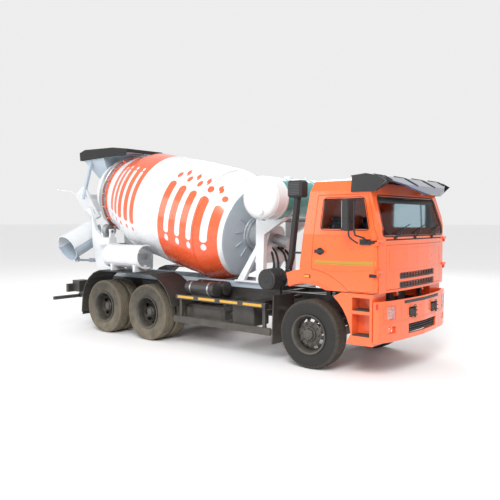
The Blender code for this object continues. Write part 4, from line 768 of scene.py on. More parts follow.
@dataclass
class Repeater:
    """Sets copies of a small shape out by Geometry Nodes, round a circle or along a line."""

    name: str
    pattern: Pattern
    count: int
    radius: float = 0.1
    step: Place = (0.1, 0.0, 0.0)

    def tree(self) -> bpy.types.NodeTree:
        """Builds the node tree for this pattern once.

        Returns:
            A tree with the named inputs Shape, Count, Radius, Step and Finish.
        """
        key = f"repeat_{self.pattern.value}"
        found = bpy.data.node_groups.get(key)
        if found is not None:
            return found
        tree = bpy.data.node_groups.new(key, "GeometryNodeTree")
        face = tree.interface
        face.new_socket("Geometry", in_out="INPUT", socket_type="NodeSocketGeometry")
        for label, kind in (("Shape", "NodeSocketObject"), ("Count", "NodeSocketInt"), ("Radius", "NodeSocketFloat"),
                            ("Step", "NodeSocketVector"), ("Finish", "NodeSocketMaterial")):
            face.new_socket(label, in_out="INPUT", socket_type=kind)
        face.new_socket("Geometry", in_out="OUTPUT", socket_type="NodeSocketGeometry")
        add, link = tree.nodes.new, tree.links.new
        ask, give = add("NodeGroupInput"), add("NodeGroupOutput")
        shape = add("GeometryNodeObjectInfo")
        link(ask.outputs["Shape"], shape.inputs["Object"])
        spread = add("GeometryNodeInstanceOnPoints")
        if self.pattern is Pattern.RING:
            circle = add("GeometryNodeMeshCircle")
            link(ask.outputs["Count"], circle.inputs["Vertices"])
            link(ask.outputs["Radius"], circle.inputs["Radius"])
            link(circle.outputs[0], spread.inputs["Points"])
            index, turn, spin = add("GeometryNodeInputIndex"), add("ShaderNodeMath"), add("ShaderNodeCombineXYZ")
            share = add("ShaderNodeMath")
            share.operation, turn.operation = "DIVIDE", "MULTIPLY"
            turn.inputs[1].default_value = math.tau
            link(index.outputs[0], share.inputs[0])
            link(ask.outputs["Count"], share.inputs[1])
            link(share.outputs[0], turn.inputs[0])
            link(turn.outputs[0], spin.inputs["Z"])
            link(spin.outputs[0], spread.inputs["Rotation"])
        else:
            line = add("GeometryNodeMeshLine")
            link(ask.outputs["Count"], line.inputs["Count"])
            link(ask.outputs["Step"], line.inputs["Offset"])
            link(line.outputs[0], spread.inputs["Points"])
        link(shape.outputs["Geometry"], spread.inputs["Instance"])
        real, coat = add("GeometryNodeRealizeInstances"), add("GeometryNodeSetMaterial")
        link(spread.outputs[0], real.inputs[0])
        link(real.outputs[0], coat.inputs["Geometry"])
        link(ask.outputs["Finish"], coat.inputs["Material"])
        link(coat.outputs[0], give.inputs[0])
        return tree

    def make(self, shape: bmesh.types.BMesh, finish: Finish, place: Matrix) -> bpy.types.Object:
        """Sets the copies out and returns them as one plain mesh.

        Args:
            shape: One copy, drawn round the pattern's own origin (round the X axis' end for a ring).
            finish: The copies' finish.
            place: Where the pattern's own frame goes.

        Returns:
            An object at the origin whose mesh holds every copy.
        """
        seed = Bench.take(f"{self.name}_seed", shape, finish)
        tree = self.tree()
        host = bpy.data.objects.new(self.name, bpy.data.meshes.new(self.name))
        bpy.context.scene.collection.objects.link(host)
        modifier = host.modifiers.new("repeat", "NODES")
        modifier.node_group = tree
        values = {"Shape": seed, "Count": self.count, "Radius": self.radius, "Step": self.step, "Finish": finish.material()}
        for item in tree.interface.items_tree:
            if item.in_out == "INPUT" and item.name in values:
                modifier[item.identifier] = values[item.name]
        bpy.context.view_layer.update()
        mesh = bpy.data.meshes.new_from_object(host.evaluated_get(bpy.context.evaluated_depsgraph_get()))
        host.modifiers.clear()
        host.data = mesh
        mesh.transform(place)
        bpy.data.objects.remove(seed, do_unlink=True)
        return host


def facing(axis: Vector, place: Vector) -> Matrix:
    """A frame at a place whose own Z points along an axis."""
    return Matrix.Translation(place) @ axis.to_track_quat("Z", "Y").to_matrix().to_4x4()


def join(name: str, pieces: Iterable[bpy.types.Object]) -> bpy.types.Object:
    """Joins objects at the origin into one mesh, keeping their materials.

    Args:
        name: The joined piece's name.
        pieces: The objects, removed except the first.

    Returns:
        The joined object.
    """
    parts = list(pieces)
    with bpy.context.temp_override(active_object=parts[0], object=parts[0], selected_objects=parts,
                                   selected_editable_objects=parts):
        bpy.ops.object.join()
    parts[0].name = name
    return parts[0]


# ---------------------------------------------------------------- drum and water tank
@dataclass
class MixingDrum:
    """The drum with its head, seams, rings and the blades inside its mouth."""

    wall: float = 0.013
    steps: int = 96
    outline: tuple[Flat, ...] = ((0.0, 0.85), (0.04, 0.872), (0.30, 1.0), (0.48, 1.082), (0.56, 1.098), (1.08, 1.1), (1.58, 1.1),
                                 (1.66, 1.098), (2.20, 1.080), (2.70, 1.062), (2.80, 1.042), (3.30, 0.877), (3.80, 0.712), (4.02, 0.64))
    seams: tuple[Flat, ...] = ((0.52, 1.099), (1.08, 1.1), (1.60, 1.1), (2.17, 1.081), (2.74, 1.058), (3.28, 0.883))

    def build(self) -> None:
        """Builds every piece of the drum."""
        base, axis = LAYOUT.at(*LAYOUT.drum_front), LAYOUT.drum_axis
        shape = bmesh.new()
        inside = [(s + 0.002, r - self.wall) for s, r in reversed(self.outline)]
        inside[0] = (4.018, 0.64 - self.wall)
        Bench.lathe(shape, [*self.outline, (4.026, 0.652), (4.034, 0.640), *inside, (self.wall, 0.3)], base, axis, self.steps)
        shell = Bench.take("drum_shell", shape, FINISH.drum, 40)
        Bench.ride(shell, "mixing_drum", FINISH.drum, ["mixing_drum"])
        self.head(base, axis)
        self.rings(base, axis)
        self.blades(base, axis)

    def head(self, base: Vector, axis: Vector) -> None:
        """The dished front head with its drive flange, stiffening ribs and bolts."""
        shape = bmesh.new()
        Bench.lathe(shape, [(0.001, 0.852), (-0.006, 0.835), (-0.006, 0.80), (-0.020, 0.62), (-0.036, 0.40), (-0.040, 0.31), (-0.062, 0.30),
                            (-0.066, 0.26), (-0.084, 0.25), (-0.084, 0.0)], base, axis, self.steps)
        head = Bench.take("drum_head", shape, FINISH.drum_head, 30)
        rib = bmesh.new()
        Bench.slab(rib, (-0.11, -0.006, -0.006), (0.11, 0.006, 0.028), 0.003)
        ribs = Repeater("drum_head_ribs", Pattern.RING, 12, 0.43).make(rib, FINISH.drum_head, facing(-axis, base - axis * 0.026))
        Bench.ride(join("drum_head", [head, ribs]), "mixing_drum", FINISH.drum_head)
        bolt = bmesh.new()
        Bench.lathe(bolt, [(0.0, 0.014), (0.012, 0.014), (0.014, 0.008), (0.014, 0.0)], Vector((0, 0, 0)), Vector((0, 0, 1)), 6)
        bolts = Repeater("drum_flange_bolts", Pattern.RING, 16, 0.272).make(bolt, FINISH.steel, facing(-axis, base - axis * 0.062))
        Bench.ride(bolts, "mixing_drum", FINISH.steel)

    def rings(self, base: Vector, axis: Vector) -> None:
        """Weld seams, the track ring with its back supports, and a hatch on the drum's side."""
        shape = bmesh.new()
        for station, radius in self.seams:
            Bench.lathe(shape, [(station - 0.010, radius - 0.003), (station - 0.005, radius + 0.003), (station + 0.005, radius + 0.003),
                                (station + 0.010, radius - 0.003)], base, axis, self.steps)
        Bench.ride(Bench.take("drum_seams", shape, FINISH.drum, 60), "mixing_drum", FINISH.drum)
        shape = bmesh.new()
        Bench.lathe(shape, [(3.57, 0.80), (3.57, 0.853), (3.577, 0.86), (3.663, 0.86), (3.67, 0.853), (3.67, 0.78)], base, axis, self.steps)
        Bench.ride(Bench.take("drum_track_ring", shape, FINISH.steel, 40), "mixing_drum", FINISH.steel)
        gusset = bmesh.new()
        Bench.prism(gusset, [(-0.075, -0.05), (0.0, -0.05), (0.0, 0.05), (-0.005, 0.05)], 1, -0.005, 0.005)
        ring = Repeater("drum_track_gussets", Pattern.RING, 18, 0.852).make(gusset, FINISH.drum, facing(axis, base + axis * 3.52))
        Bench.ride(ring, "mixing_drum", FINISH.drum)
        hatch = bmesh.new()
        place = LAYOUT.on_drum(1.35, 0.0, 0.0)
        out = (LAYOUT.drum_up * 0.45 + Vector((0, 0.893, 0))).normalized()
        Bench.lathe(hatch, [(1.085, 0.25), (1.104, 0.25), (1.110, 0.24), (1.112, 0.10), (1.112, 0.0)], place, out, 32)
        Bench.ride(Bench.take("drum_hatch", hatch, FINISH.drum, 40), "mixing_drum", FINISH.drum)

    def blades(self, base: Vector, axis: Vector) -> None:
        """Two spiral mixing blades that show inside the mouth."""
        shape = bmesh.new()
        turn = axis.to_track_quat("Z", "Y").to_matrix()
        for start in (0.0, math.pi):
            last = None
            for k in range(97):
                t = k / 96
                station = 1.9 + 2.08 * t
                wall = (1.072 if station < 2.74 else 1.06 - 0.328 * (station - 2.74)) - self.wall - 0.012
                angle = start + t * math.tau * 1.15
                out = turn.col[0] * math.cos(angle) + turn.col[1] * math.sin(angle)
                deep = 0.36 - 0.16 * t
                row = [shape.verts.new(base + axis * (station + lean) + out * radius)
                       for lean, radius in ((0.0, wall), (0.06, wall - deep), (0.085, wall - deep), (0.012, wall))]
                if last:
                    for i in range(4):
                        n = (i + 1) % 4
                        shape.faces.new((last[i], last[n], row[n], row[i]))
                last = row
        Bench.ride(Bench.take("drum_blades", shape, FINISH.drum_head, 50), "mixing_drum", FINISH.drum_head)


@dataclass
class WaterTank:
    """The cross-laid water tank over the front pedestal."""

    radius: float = 0.365
    half: float = 1.10
    centre: Place = (-1.12, 0.0, 2.69)

    def build(self) -> None:
        """Builds the tank and its fittings."""
        middle, across = LAYOUT.at(*self.centre), Vector((0, 1, 0))
        dome = [(self.half, 0.0)]
        for k in range(1, 13):
            a = math.radians(90 * k / 12)
            dome.append((self.half - 0.19 * (1 - math.cos(a)), self.radius * math.sin(a)))
        shape = bmesh.new()
        Bench.lathe(shape, dome + [(0.35, self.radius), (-0.35, self.radius)] + [(-s, r) for s, r in reversed(dome)], middle, across, 64)
        Bench.ride(Bench.take("tank_body", shape, FINISH.tank, 50), "chassis", FINISH.tank, ["water_tank"])
        shape = bmesh.new()
        for y in (-0.905, -0.66, -0.30, 0.30, 0.66, 0.905):
            wide = 0.028 if abs(y) == 0.66 else 0.008
            Bench.lathe(shape, [(y - wide, self.radius - 0.002), (y - wide + 0.003, self.radius + 0.006), (y + wide - 0.003, self.radius + 0.006),
                                (y + wide, self.radius - 0.002)], middle, across, 64)
        bands = Bench.take("tank_bands", shape, FINISH.white, 50)
        shape = bmesh.new()
        for y in (-0.40, 0.40):
            Bench.lathe(shape, [(y - 0.03, self.radius + 0.001), (y - 0.03, self.radius + 0.007), (y + 0.03, self.radius + 0.007),
                                (y + 0.03, self.radius + 0.001)], middle, across, 64)
        Bench.slab(shape, tuple(middle + Vector((-0.05, -0.95, -0.385))), tuple(middle + Vector((0.05, -0.86, -0.335))), 0.006)
        straps = Bench.take("tank_straps", shape, FINISH.frame_grey, 50)
        shape = bmesh.new()
        top = middle + Vector((0.0, 0.0, self.radius - 0.012))
        for y, r, tall in ((-0.15, 0.075, 0.045), (0.42, 0.03, 0.06)):
            Bench.lathe(shape, [(0.0, r + 0.02), (0.012, r + 0.02), (0.012, r), (tall - 0.006, r), (tall, r - 0.006), (tall, 0.0)],
                        top + Vector((0, y, 0)), Vector((0, 0, 1)), 28)
        Bench.lathe(shape, [(0.0, 0.045), (0.035, 0.045), (0.040, 0.030), (0.062, 0.028), (0.062, 0.0)],
                    middle + Vector((0.10, -1.045, -0.24)), Vector((0, -1, -0.45)).normalized(), 20)
        fittings = Bench.take("tank_fittings", shape, FINISH.white, 40)
        Bench.ride(join("tank_fittings", [bands, straps, fittings]), "chassis", FINISH.white)


# ---------------------------------------------------------------- wheels
@dataclass
class Wheel:
    """Shared shapes of tyres and rims."""

    radius: float = 0.54
    seat: float = 0.298
    blocks: int = 54

    def carcass(self, shape: bmesh.types.BMesh, hub: Vector, out: Vector, middle: float, width: float) -> None:
        """One tyre without its tread blocks.

        Args:
            shape: The bmesh to add to.
            hub: The wheel's middle.
            out: The outward direction of the axle.
            middle: Where the tyre's own middle lies along the axle.
            width: The tyre's width.
        """
        w, r = width / 2, self.radius
        side = [(0.78, self.seat), (0.86, self.seat + 0.012), (0.90, self.seat + 0.030), (0.90, self.seat + 0.040), (0.94, self.seat + 0.055),
                (0.985, 0.385), (1.0, 0.415), (0.995, 0.44), (0.975, 0.462), (0.985, 0.466), (0.980, 0.474), (0.955, 0.482),
                (0.925, 0.502), (0.90, 0.520), (0.87, r - 0.010), (0.83, r - 0.006)]
        crown = [(0.80, r - 0.004), (0.66, r - 0.003), (0.63, r - 0.018), (0.585, r - 0.018), (0.555, r - 0.003), (0.25, r - 0.002),
                 (0.22, r - 0.018), (0.17, r - 0.018), (0.14, r - 0.001), (0.0, r - 0.001)]
        half = [(middle + share * w, radius) for share, radius in side + crown]
        other = [(middle - share * w, radius) for share, radius in reversed(side + crown[:-1])]
        Bench.lathe(shape, half + other, hub, out, 72, closed=True)

    def tread(self, name: str, hub: Vector, out: Vector, middle: float, width: float, finish: Finish) -> list[bpy.types.Object]:
        """The tread blocks of one tyre, in four rows.

        Args:
            name: What the rows are called.
            hub: The wheel's middle.
            out: The outward direction of the axle.
            middle: Where the tyre's middle lies along the axle.
            width: The tyre's width.
            finish: The tyre's rubber.

        Returns:
            One object for each row.
        """
        rows = []
        for index, (share, half, slant, deep) in enumerate(((-0.80, 0.16, 0.010, 0.050), (-0.395, 0.135, -0.006, 0.014),
                                                            (0.395, 0.135, 0.006, 0.014), (0.80, 0.16, -0.010, 0.050))):
            block = bmesh.new()
            low, high, edge = -half * width / 2, half * width / 2, 0.019
            top = 0.0 if deep < 0.03 else -0.0035
            outer = -0.014 if deep > 0.03 and share > 0 else 0.0
            inner = -0.014 if deep > 0.03 and share < 0 else 0.0
            corners = [((-deep, -edge, low), (-deep, edge, low), (-deep, edge, high), (-deep, -edge, high)),
                       ((top + inner, -edge + 0.003 + slant, low), (top + inner, edge - 0.003 + slant, low),
                        (top + outer, edge - 0.003 - slant, high), (top + outer, -edge + 0.003 - slant, high))]
            rings = [[block.verts.new(c) for c in ring] for ring in corners]
            block.faces.new(rings[0])
            block.faces.new(list(reversed(rings[1])))
            for i in range(4):
                n = (i + 1) % 4
                block.faces.new((rings[0][i], rings[1][i], rings[1][n], rings[0][n]))
            place = facing(out, hub + out * (middle + share * width / 2)) @ Matrix.Rotation(math.pi / self.blocks * (index % 2), 4, "Z")
            rows.append(Repeater(f"{name}_row_{index}", Pattern.RING, self.blocks, self.radius).make(block, finish, place))
        return rows

    def disc(self, shape: bmesh.types.BMesh, hub: Vector, out: Vector, rings: Sequence[Flat], holes: int = 10) -> None:
        """The rim's dished disc, with hand holes through one of its bands.

        Args:
            shape: The bmesh to add to.
            hub: The wheel's middle.
            out: The outward direction of the axle.
            rings: Pairs of (station, radius); the holes go through the band between the second and third.
            holes: How many hand holes.
        """
        steps = holes * 6
        start = len(shape.faces)
        Bench.lathe(shape, rings, hub, out, steps)
        shape.faces.ensure_lookup_table()
        per = len(rings) - 1
        gone = [shape.faces[start + k * per + 1] for k in range(steps) if k % 6 in (0, 1, 2)]
        bmesh.ops.delete(shape, geom=gone, context="FACES")

    def nuts(self, name: str, hub: Vector, out: Vector, station: float, radius: float, count: int, size: float, finish: Finish) -> bpy.types.Object:
        """A ring of hexagon nuts with stud ends."""
        nut = bmesh.new()
        Bench.lathe(nut, [(0.0, size), (0.018, size), (0.022, size * 0.75), (0.022, size * 0.5), (0.034, size * 0.45), (0.034, 0.0)],
                    Vector((0, 0, 0)), Vector((0, 0, 1)), 6)
        return Repeater(name, Pattern.RING, count, radius).make(nut, finish, facing(out, hub + out * station))


@dataclass
class FrontWheel(Wheel):
    """A steered wheel: one tyre on a rim whose disc bulges outward."""

    width: float = 0.29
    track: float = 1.022

    def build(self, side: Side) -> None:
        """Builds the wheel on one side."""
        out, name = Vector((0, side.value, 0)), f"front_wheel_{side.word}"
        hub = LAYOUT.at(0, side.value * self.track, LAYOUT.hub_height)
        rubber = FINISH.tyre((round(LAYOUT.axle_x, 4), LAYOUT.hub_height), 0.0)
        shape = bmesh.new()
        self.carcass(shape, hub, out, 0.0, self.width)
        tyre = Bench.take(f"{name}_tyre", shape, rubber, 50)
        tyre = join(f"{name}_tyre", [tyre, *self.tread(name, hub, out, 0.0, self.width, rubber)])
        Bench.ride(tyre, name, rubber, [name])
        shape = bmesh.new()
        w = self.width / 2
        Bench.lathe(shape, [(-w + 0.012, self.seat + 0.012), (-w + 0.020, self.seat), (-0.05, 0.27), (0.06, 0.262), (w - 0.030, 0.282),
                            (w - 0.014, self.seat - 0.004), (w - 0.006, self.seat + 0.016), (w + 0.001, self.seat + 0.014),
                            (w - 0.004, self.seat - 0.012), (w - 0.024, 0.272), (0.065, 0.250), (-0.05, 0.258), (-w + 0.012, self.seat - 0.012)],
                    hub, out, 60, closed=True)
        self.disc(shape, hub, out, [(0.040, 0.252), (0.055, 0.238), (0.080, 0.200), (0.092, 0.185), (0.094, 0.120), (0.098, 0.0)])
        rim = Bench.take(f"{name}_rim", shape, FINISH.chassis, 40)
        shape = bmesh.new()
        Bench.lathe(shape, [(0.090, 0.118), (0.118, 0.116), (0.122, 0.105), (0.122, 0.088), (0.150, 0.084), (0.158, 0.074), (0.160, 0.050),
                            (0.168, 0.046), (0.170, 0.0)], hub, out, 40)
        Bench.lathe(shape, [(0.092, 0.176), (0.097, 0.172), (0.097, 0.128), (0.092, 0.124)], hub, out, 40)
        cap = Bench.take(f"{name}_cap", shape, FINISH.chassis, 35)
        nuts = [self.nuts(f"{name}_nuts", hub, out, 0.094, 0.1675, 10, 0.019, FINISH.chassis),
                self.nuts(f"{name}_cap_nuts", hub, out, 0.120, 0.097, 8, 0.008, FINISH.chassis)]
        Bench.ride(join(f"{name}_rim", [rim, cap, *nuts]), name, FINISH.chassis)


@dataclass
class TwinWheels(Wheel):
    """Two tyres on deep rims at one end of a drive axle."""

    width: float = 0.278
    middle: float = 0.945
    apart: float = 0.16

    def build(self, row: str, x: float, side: Side) -> None:
        """Builds one pair.

        Args:
            row: "middle" or "rear".
            x: The axle's station.
            side: The side of the truck.
        """
        out, name = Vector((0, side.value, 0)), f"{row}_wheels_{side.word}"
        hub = LAYOUT.at(x, side.value * self.middle, LAYOUT.hub_height)
        rubber = FINISH.tyre((round(LAYOUT.axle_x + x, 4), LAYOUT.hub_height), 1.0)
        parts = []
        for offset in (self.apart, -self.apart):
            shape = bmesh.new()
            self.carcass(shape, hub, out, offset, self.width)
            parts.append(Bench.take(f"{name}_tyre", shape, rubber, 50))
            parts += self.tread(name, hub, out, offset, self.width, rubber)
        Bench.ride(join(f"{name}_tyres", parts), name, rubber, [name])
        shape = bmesh.new()
        for offset, face in ((self.apart, 1.0), (-self.apart, -1.0)):
            w = self.width / 2
            rim = [(-w + 0.012, self.seat + 0.012), (-w + 0.020, self.seat), (-0.06, 0.268), (0.06, 0.268), (w - 0.030, 0.282),
                   (w - 0.014, self.seat - 0.004), (w - 0.006, self.seat + 0.016), (w + 0.001, self.seat + 0.014), (w - 0.004, self.seat - 0.012),
                   (w - 0.024, 0.272), (0.065, 0.256), (-0.06, 0.258), (-w + 0.012, self.seat - 0.012)]
            Bench.lathe(shape, [(offset + face * s, r) for s, r in rim], hub, out, 60, closed=True)
        self.disc(shape, hub, out, [(0.140, 0.256), (0.095, 0.244), (0.050, 0.205), (0.032, 0.190), (0.028, 0.110)])
        self.disc(shape, hub, out, [(-0.140, 0.256), (-0.095, 0.244), (-0.050, 0.205), (-0.014, 0.190), (-0.010, 0.110)])
        rims = Bench.take(f"{name}_rims", shape, FINISH.chassis, 40)
        shape = bmesh.new()
        Bench.lathe(shape, [(0.028, 0.135), (0.060, 0.128), (0.110, 0.112), (0.180, 0.098), (0.190, 0.090), (0.196, 0.070), (0.212, 0.066),
                            (0.216, 0.055), (0.216, 0.0)], hub, out, 40)
        cap = Bench.take(f"{name}_cap", shape, FINISH.chassis, 35)
        nuts = [self.nuts(f"{name}_nuts", hub, out, 0.030, 0.1675, 10, 0.019, FINISH.chassis),
                self.nuts(f"{name}_cap_nuts", hub, out, 0.186, 0.082, 10, 0.007, FINISH.chassis)]
        Bench.ride(join(f"{name}_rims", [rims, cap, *nuts]), name, FINISH.chassis)


# ---------------------------------------------------------------- laying trim on packed surfaces
class View(Enum):
    """The direction that a skin is looked at from, with the two axes that are drawn in."""

    FRONT = (Vector((-1, 0, 0)), 1, 2)
    RIGHT = (Vector((0, 1, 0)), 0, 2)
    LEFT = (Vector((0, -1, 0)), 0, 2)
    BACK = (Vector((1, 0, 0)), 1, 2)
    TOP = (Vector((0, 0, -1)), 0, 1)

    @staticmethod
    def of(side: Side) -> "View":
        """The view of one side of the truck."""
        return View.RIGHT if side is Side.RIGHT else View.LEFT


class Skin:
    """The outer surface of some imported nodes, to lay trim on."""

    def __init__(self, *nodes: str) -> None:
        """Reads the nodes' meshes."""
        verts: list[Vector] = []
        faces: list[tuple[int, ...]] = []
        for name in nodes:
            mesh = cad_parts[name].data
            start = len(verts)
            verts += [v.co.copy() for v in mesh.vertices]
            faces += [tuple(start + i for i in p.vertices) for p in mesh.polygons]
        self.tree = BVHTree.FromPolygons(verts, faces)

    def touch(self, view: View, point: Flat) -> tuple[Vector, Vector]:
        """Finds the surface at a drawn point.

        Args:
            view: The direction it is looked at from.
            point: The point in the view's two axes, with x counted from the front axle.

        Returns:
            The place on the surface and its outward normal.
        """
        ahead, u, v = view.value
        start = Vector((0, 0, 0))
        start[u], start[v] = point
        start.x += LAYOUT.axle_x if u == 0 else 0.0
        start -= ahead * 12.0
        found, normal, _, _ = self.tree.ray_cast(start, ahead)
        if found is None:
            found, normal, _, _ = self.tree.find_nearest(start + ahead * (12.0 - abs(CAD_BOX[1][0 if view in (View.FRONT, View.BACK) else 1])))
        if normal.dot(ahead) > 0:
            normal = -normal
        return found, normal

    def strip(self, shape: bmesh.types.BMesh, view: View, path: Sequence[Flat], half: float, lift: float = 0.003,
              sink: float = 0.002, cyclic: bool = False, step: float = 0.04) -> None:
        """Lays a thin strip along a drawn path.

        Args:
            shape: The bmesh to add to.
            view: The direction that the path is drawn in.
            path: The path's corners.
            half: Half the strip's width.
            lift: How far it stands off the surface.
            sink: How far its edges go into the surface.
            cyclic: Whether the path closes.
            step: The longest stretch between two sections.
        """
        corners = [Vector((*p, 0)) for p in path]
        run: list[Vector] = []
        ends = corners + corners[:1] if cyclic else corners
        for one, two in zip(ends, ends[1:]):
            parts = max(1, math.ceil((two - one).length / step))
            run += [one.lerp(two, k / parts) for k in range(parts)]
        if not cyclic:
            run.append(ends[-1])
        rings = []
        for k, here in enumerate(run):
            before = run[k - 1] if cyclic or k else here
            after = run[(k + 1) % len(run)] if cyclic or k + 1 < len(run) else here
            along = (after - before).normalized()
            out = Vector((-along.y, along.x, 0)) * half
            ring = []
            for edge, level in ((out, -sink), (out * 0.94, lift), (out * -0.94, lift), (-out, -sink)):
                place, normal = self.touch(view, tuple((here + edge)[:2]))
                ring.append(shape.verts.new(place + normal * level))
            rings.append(ring)
        pairs = list(zip(rings, rings[1:])) + ([(rings[-1], rings[0])] if cyclic else [])
        for one, two in pairs:
            for i in range(4):
                n = (i + 1) % 4
                shape.faces.new((one[i], one[n], two[n], two[i]))
        if not cyclic:
            shape.faces.new(rings[0])
            shape.faces.new(list(reversed(rings[-1])))


def rounded_loop(corners: Sequence[Flat], radius: float, steps: int = 5) -> list[Flat]:
    """A closed outline with rounded corners.

    Args:
        corners: The sharp corners.
        radius: How much of each side a corner takes.
        steps: Points in each rounded corner.

    Returns:
        The rounded outline's points.
    """
    made = []
    for k, corner in enumerate(corners):
        here, before, after = Vector(corner), Vector(corners[k - 1]), Vector(corners[(k + 1) % len(corners)])
        start, end = here + (before - here).normalized() * radius, here + (after - here).normalized() * radius
        for j in range(steps + 1):
            t = j / steps
            made.append(tuple(start * (1 - t) ** 2 + here * (2 * t * (1 - t)) + end * t * t))
    return made


# ---------------------------------------------------------------- cab
@dataclass
class CabTrim:
    """Everything on the outside of the tilting cab."""

    screen: tuple[Flat, ...] = ((-1.085, 2.085), (1.085, 2.085), (1.005, 2.665), (-1.005, 2.665))
    window: tuple[Flat, ...] = ((0.25, 2.175), (1.06, 2.175), (0.955, 2.64), (0.282, 2.64))
    louvres: tuple[float, ...] = (1.49, 1.355)
    skin: Skin = field(default_factory=lambda: Skin("cab_shell", "windscreen", "front_panel"))

    def build(self) -> None:
        """Builds the trim."""
        self.gaskets()
        self.wipers()
        self.grille()
        self.fenders()
        self.roof()
        for side in Side:
            self.door(side)

    def gaskets(self) -> None:
        """The windscreen's rubber, the scuttle strip under it and a dark band across the screen's top."""
        shape = bmesh.new()
        self.skin.strip(shape, View.FRONT, rounded_loop(self.screen, 0.09), 0.019, 0.006, cyclic=True)
        self.skin.strip(shape, View.FRONT, [(-1.0, 2.028), (1.0, 2.028)], 0.010, 0.002)
        Bench.ride(Bench.take("windscreen_rubber", shape, FINISH.rubber, 50), "cab", FINISH.rubber)
        shape = bmesh.new()
        self.skin.strip(shape, View.FRONT, [(-0.97, 2.603), (0.97, 2.603)], 0.040, 0.0015, 0.0)
        Bench.ride(Bench.take("windscreen_band", shape, FINISH.moulding, 50), "cab", FINISH.moulding)

    def wipers(self) -> None:
        """Three wipers with sprung arms and jointed blades."""
        shape = bmesh.new()
        for pivot_y, tip_y in ((-0.78, -0.20), (-0.12, 0.38), (0.52, 0.98)):
            foot, out = self.skin.touch(View.FRONT, (pivot_y, 2.052))
            mid_y = pivot_y + (tip_y - pivot_y) * 0.5
            joint, lean = self.skin.touch(View.FRONT, (mid_y, 2.175))
            Bench.lathe(shape, [(0.0, 0.020), (0.022, 0.020), (0.030, 0.012), (0.030, 0.0)], foot, out, 16)
            Bench.hose(shape, [foot + out * 0.024, foot.lerp(joint, 0.4) + out * 0.05, joint + lean * 0.030], 0.008, 8, 4)
            blade = [self.skin.touch(View.FRONT, (pivot_y + (tip_y - pivot_y) * t, 2.112 + 0.125 * t)) for t in (0.02, 0.27, 0.52, 0.77, 1.04)]
            Bench.hose(shape, [p + n * 0.020 for p, n in blade], 0.006, 6, 3)
            Bench.hose(shape, [p + n * 0.009 for p, n in blade], 0.005, 4, 3)
        Bench.ride(Bench.take("wipers", shape, FINISH.moulding, 40), "cab", FINISH.moulding)

    def grille(self) -> None:
        """Louvres in the front panel's slots, and the panel's pressed edge line."""
        panel = Skin("front_panel")
        bars, frames = [], bmesh.new()
        for z in self.louvres:
            top = z + 0.037
            panel.strip(frames, View.FRONT, rounded_loop([(-0.615, z - 0.042), (0.615, z - 0.042), (0.615, top), (-0.615, top)], 0.02, 3), 0.008, 0.004,
                        cyclic=True)
            depth = LAYOUT.at(1.262, 0, 0).x
            for level in (-0.020, 0.005):
                vane = bmesh.new()
                Bench.slab(vane, (depth - 0.03, -0.60, z + level - 0.008), (depth, 0.60, z + level + 0.004), 0.002)
                bars.append(Bench.take("grille_vane", vane, FINISH.louvre, 40))
            post = bmesh.new()
            Bench.slab(post, (-0.020, -0.003, -0.036), (0.004, 0.003, 0.032), 0.001)
            place = Matrix.Translation(Vector((depth, -0.55, z)))
            bars.append(Repeater("grille_posts", Pattern.ROW, 12, step=(0.0, 0.10, 0.0)).make(post, FINISH.louvre, place))
        bars.append(Bench.take("grille_frames", frames, FINISH.louvre, 40))
        Bench.ride(join("grille_louvres", bars), "front_panel", FINISH.louvre)
        shape = bmesh.new()
        panel.strip(shape, View.FRONT, rounded_loop([(-0.90, 1.585), (0.90, 1.585), (0.90, 1.90), (-0.90, 1.90)], 0.05), 0.007, 0.003, cyclic=True)
        Bench.ride(Bench.take("front_panel_crease", shape, FINISH.cab, 60), "front_panel", FINISH.cab)

    def fenders(self) -> None:
        """The fenders' rolled lips and side repeaters."""
        for side in Side:
            view, shape = View.of(side), bmesh.new()
            arch = [(0.83 * math.cos(a), 0.54 + 0.83 * math.sin(a)) for a in (math.radians(61 + 58 * k / 12) for k in range(13))]
            self.skin.strip(shape, view, arch, 0.014, 0.009)
            Bench.ride(Bench.take(f"fender_lip_{side.word}", shape, FINISH.cab, 60), "cab", FINISH.cab)
            lamp, base = bmesh.new(), bmesh.new()
            place, out = self.skin.touch(view, (0.02, 1.455))
            turn = facing(out, place)
            Bench.slab(base, (-0.055, -0.026, -0.004), (0.055, 0.026, 0.008), 0.006, turn)
            Bench.slab(lamp, (-0.044, -0.018, 0.006), (0.044, 0.018, 0.026), 0.009, turn)
            Bench.ride(Bench.take(f"repeater_base_{side.word}", base, FINISH.moulding, 40), "cab", FINISH.moulding)
            Bench.ride(Bench.take(f"repeater_{side.word}", lamp, FINISH.amber, 50), "cab", FINISH.amber)

    def roof(self) -> None:
        """Roof ribs and hatch, rear wall pressings and the visor's arms."""
        shape = bmesh.new()
        for y in (-0.75, -0.45, 0.45, 0.75):
            self.skin.strip(shape, View.TOP, [(0.10, y), (0.78, y)], 0.022, 0.008)
        self.skin.strip(shape, View.TOP, rounded_loop([(0.22, -0.27), (0.72, -0.27), (0.72, 0.27), (0.22, 0.27)], 0.06), 0.016, 0.012, cyclic=True)
        for y in (-0.90, -0.45, 0.0, 0.45, 0.90):
            self.skin.strip(shape, View.BACK, [(y, 1.75), (y, 2.55)], 0.028, 0.010)
        self.skin.strip(shape, View.BACK, [(-1.0, 1.66), (1.0, 1.66)], 0.022, 0.008)
        Bench.ride(Bench.take("cab_pressings", shape, FINISH.cab, 60), "cab", FINISH.cab)
        visor = Skin("sun_visor")
        shape = bmesh.new()
        for y in (-0.97, -0.32, 0.32, 0.97):
            visor.strip(shape, View.TOP, [(1.00, y), (1.42 - 0.10 * abs(y), y)], 0.016, 0.010)
        Bench.ride(Bench.take("visor_arms", shape, FINISH.moulding, 50), "cab", FINISH.moulding)

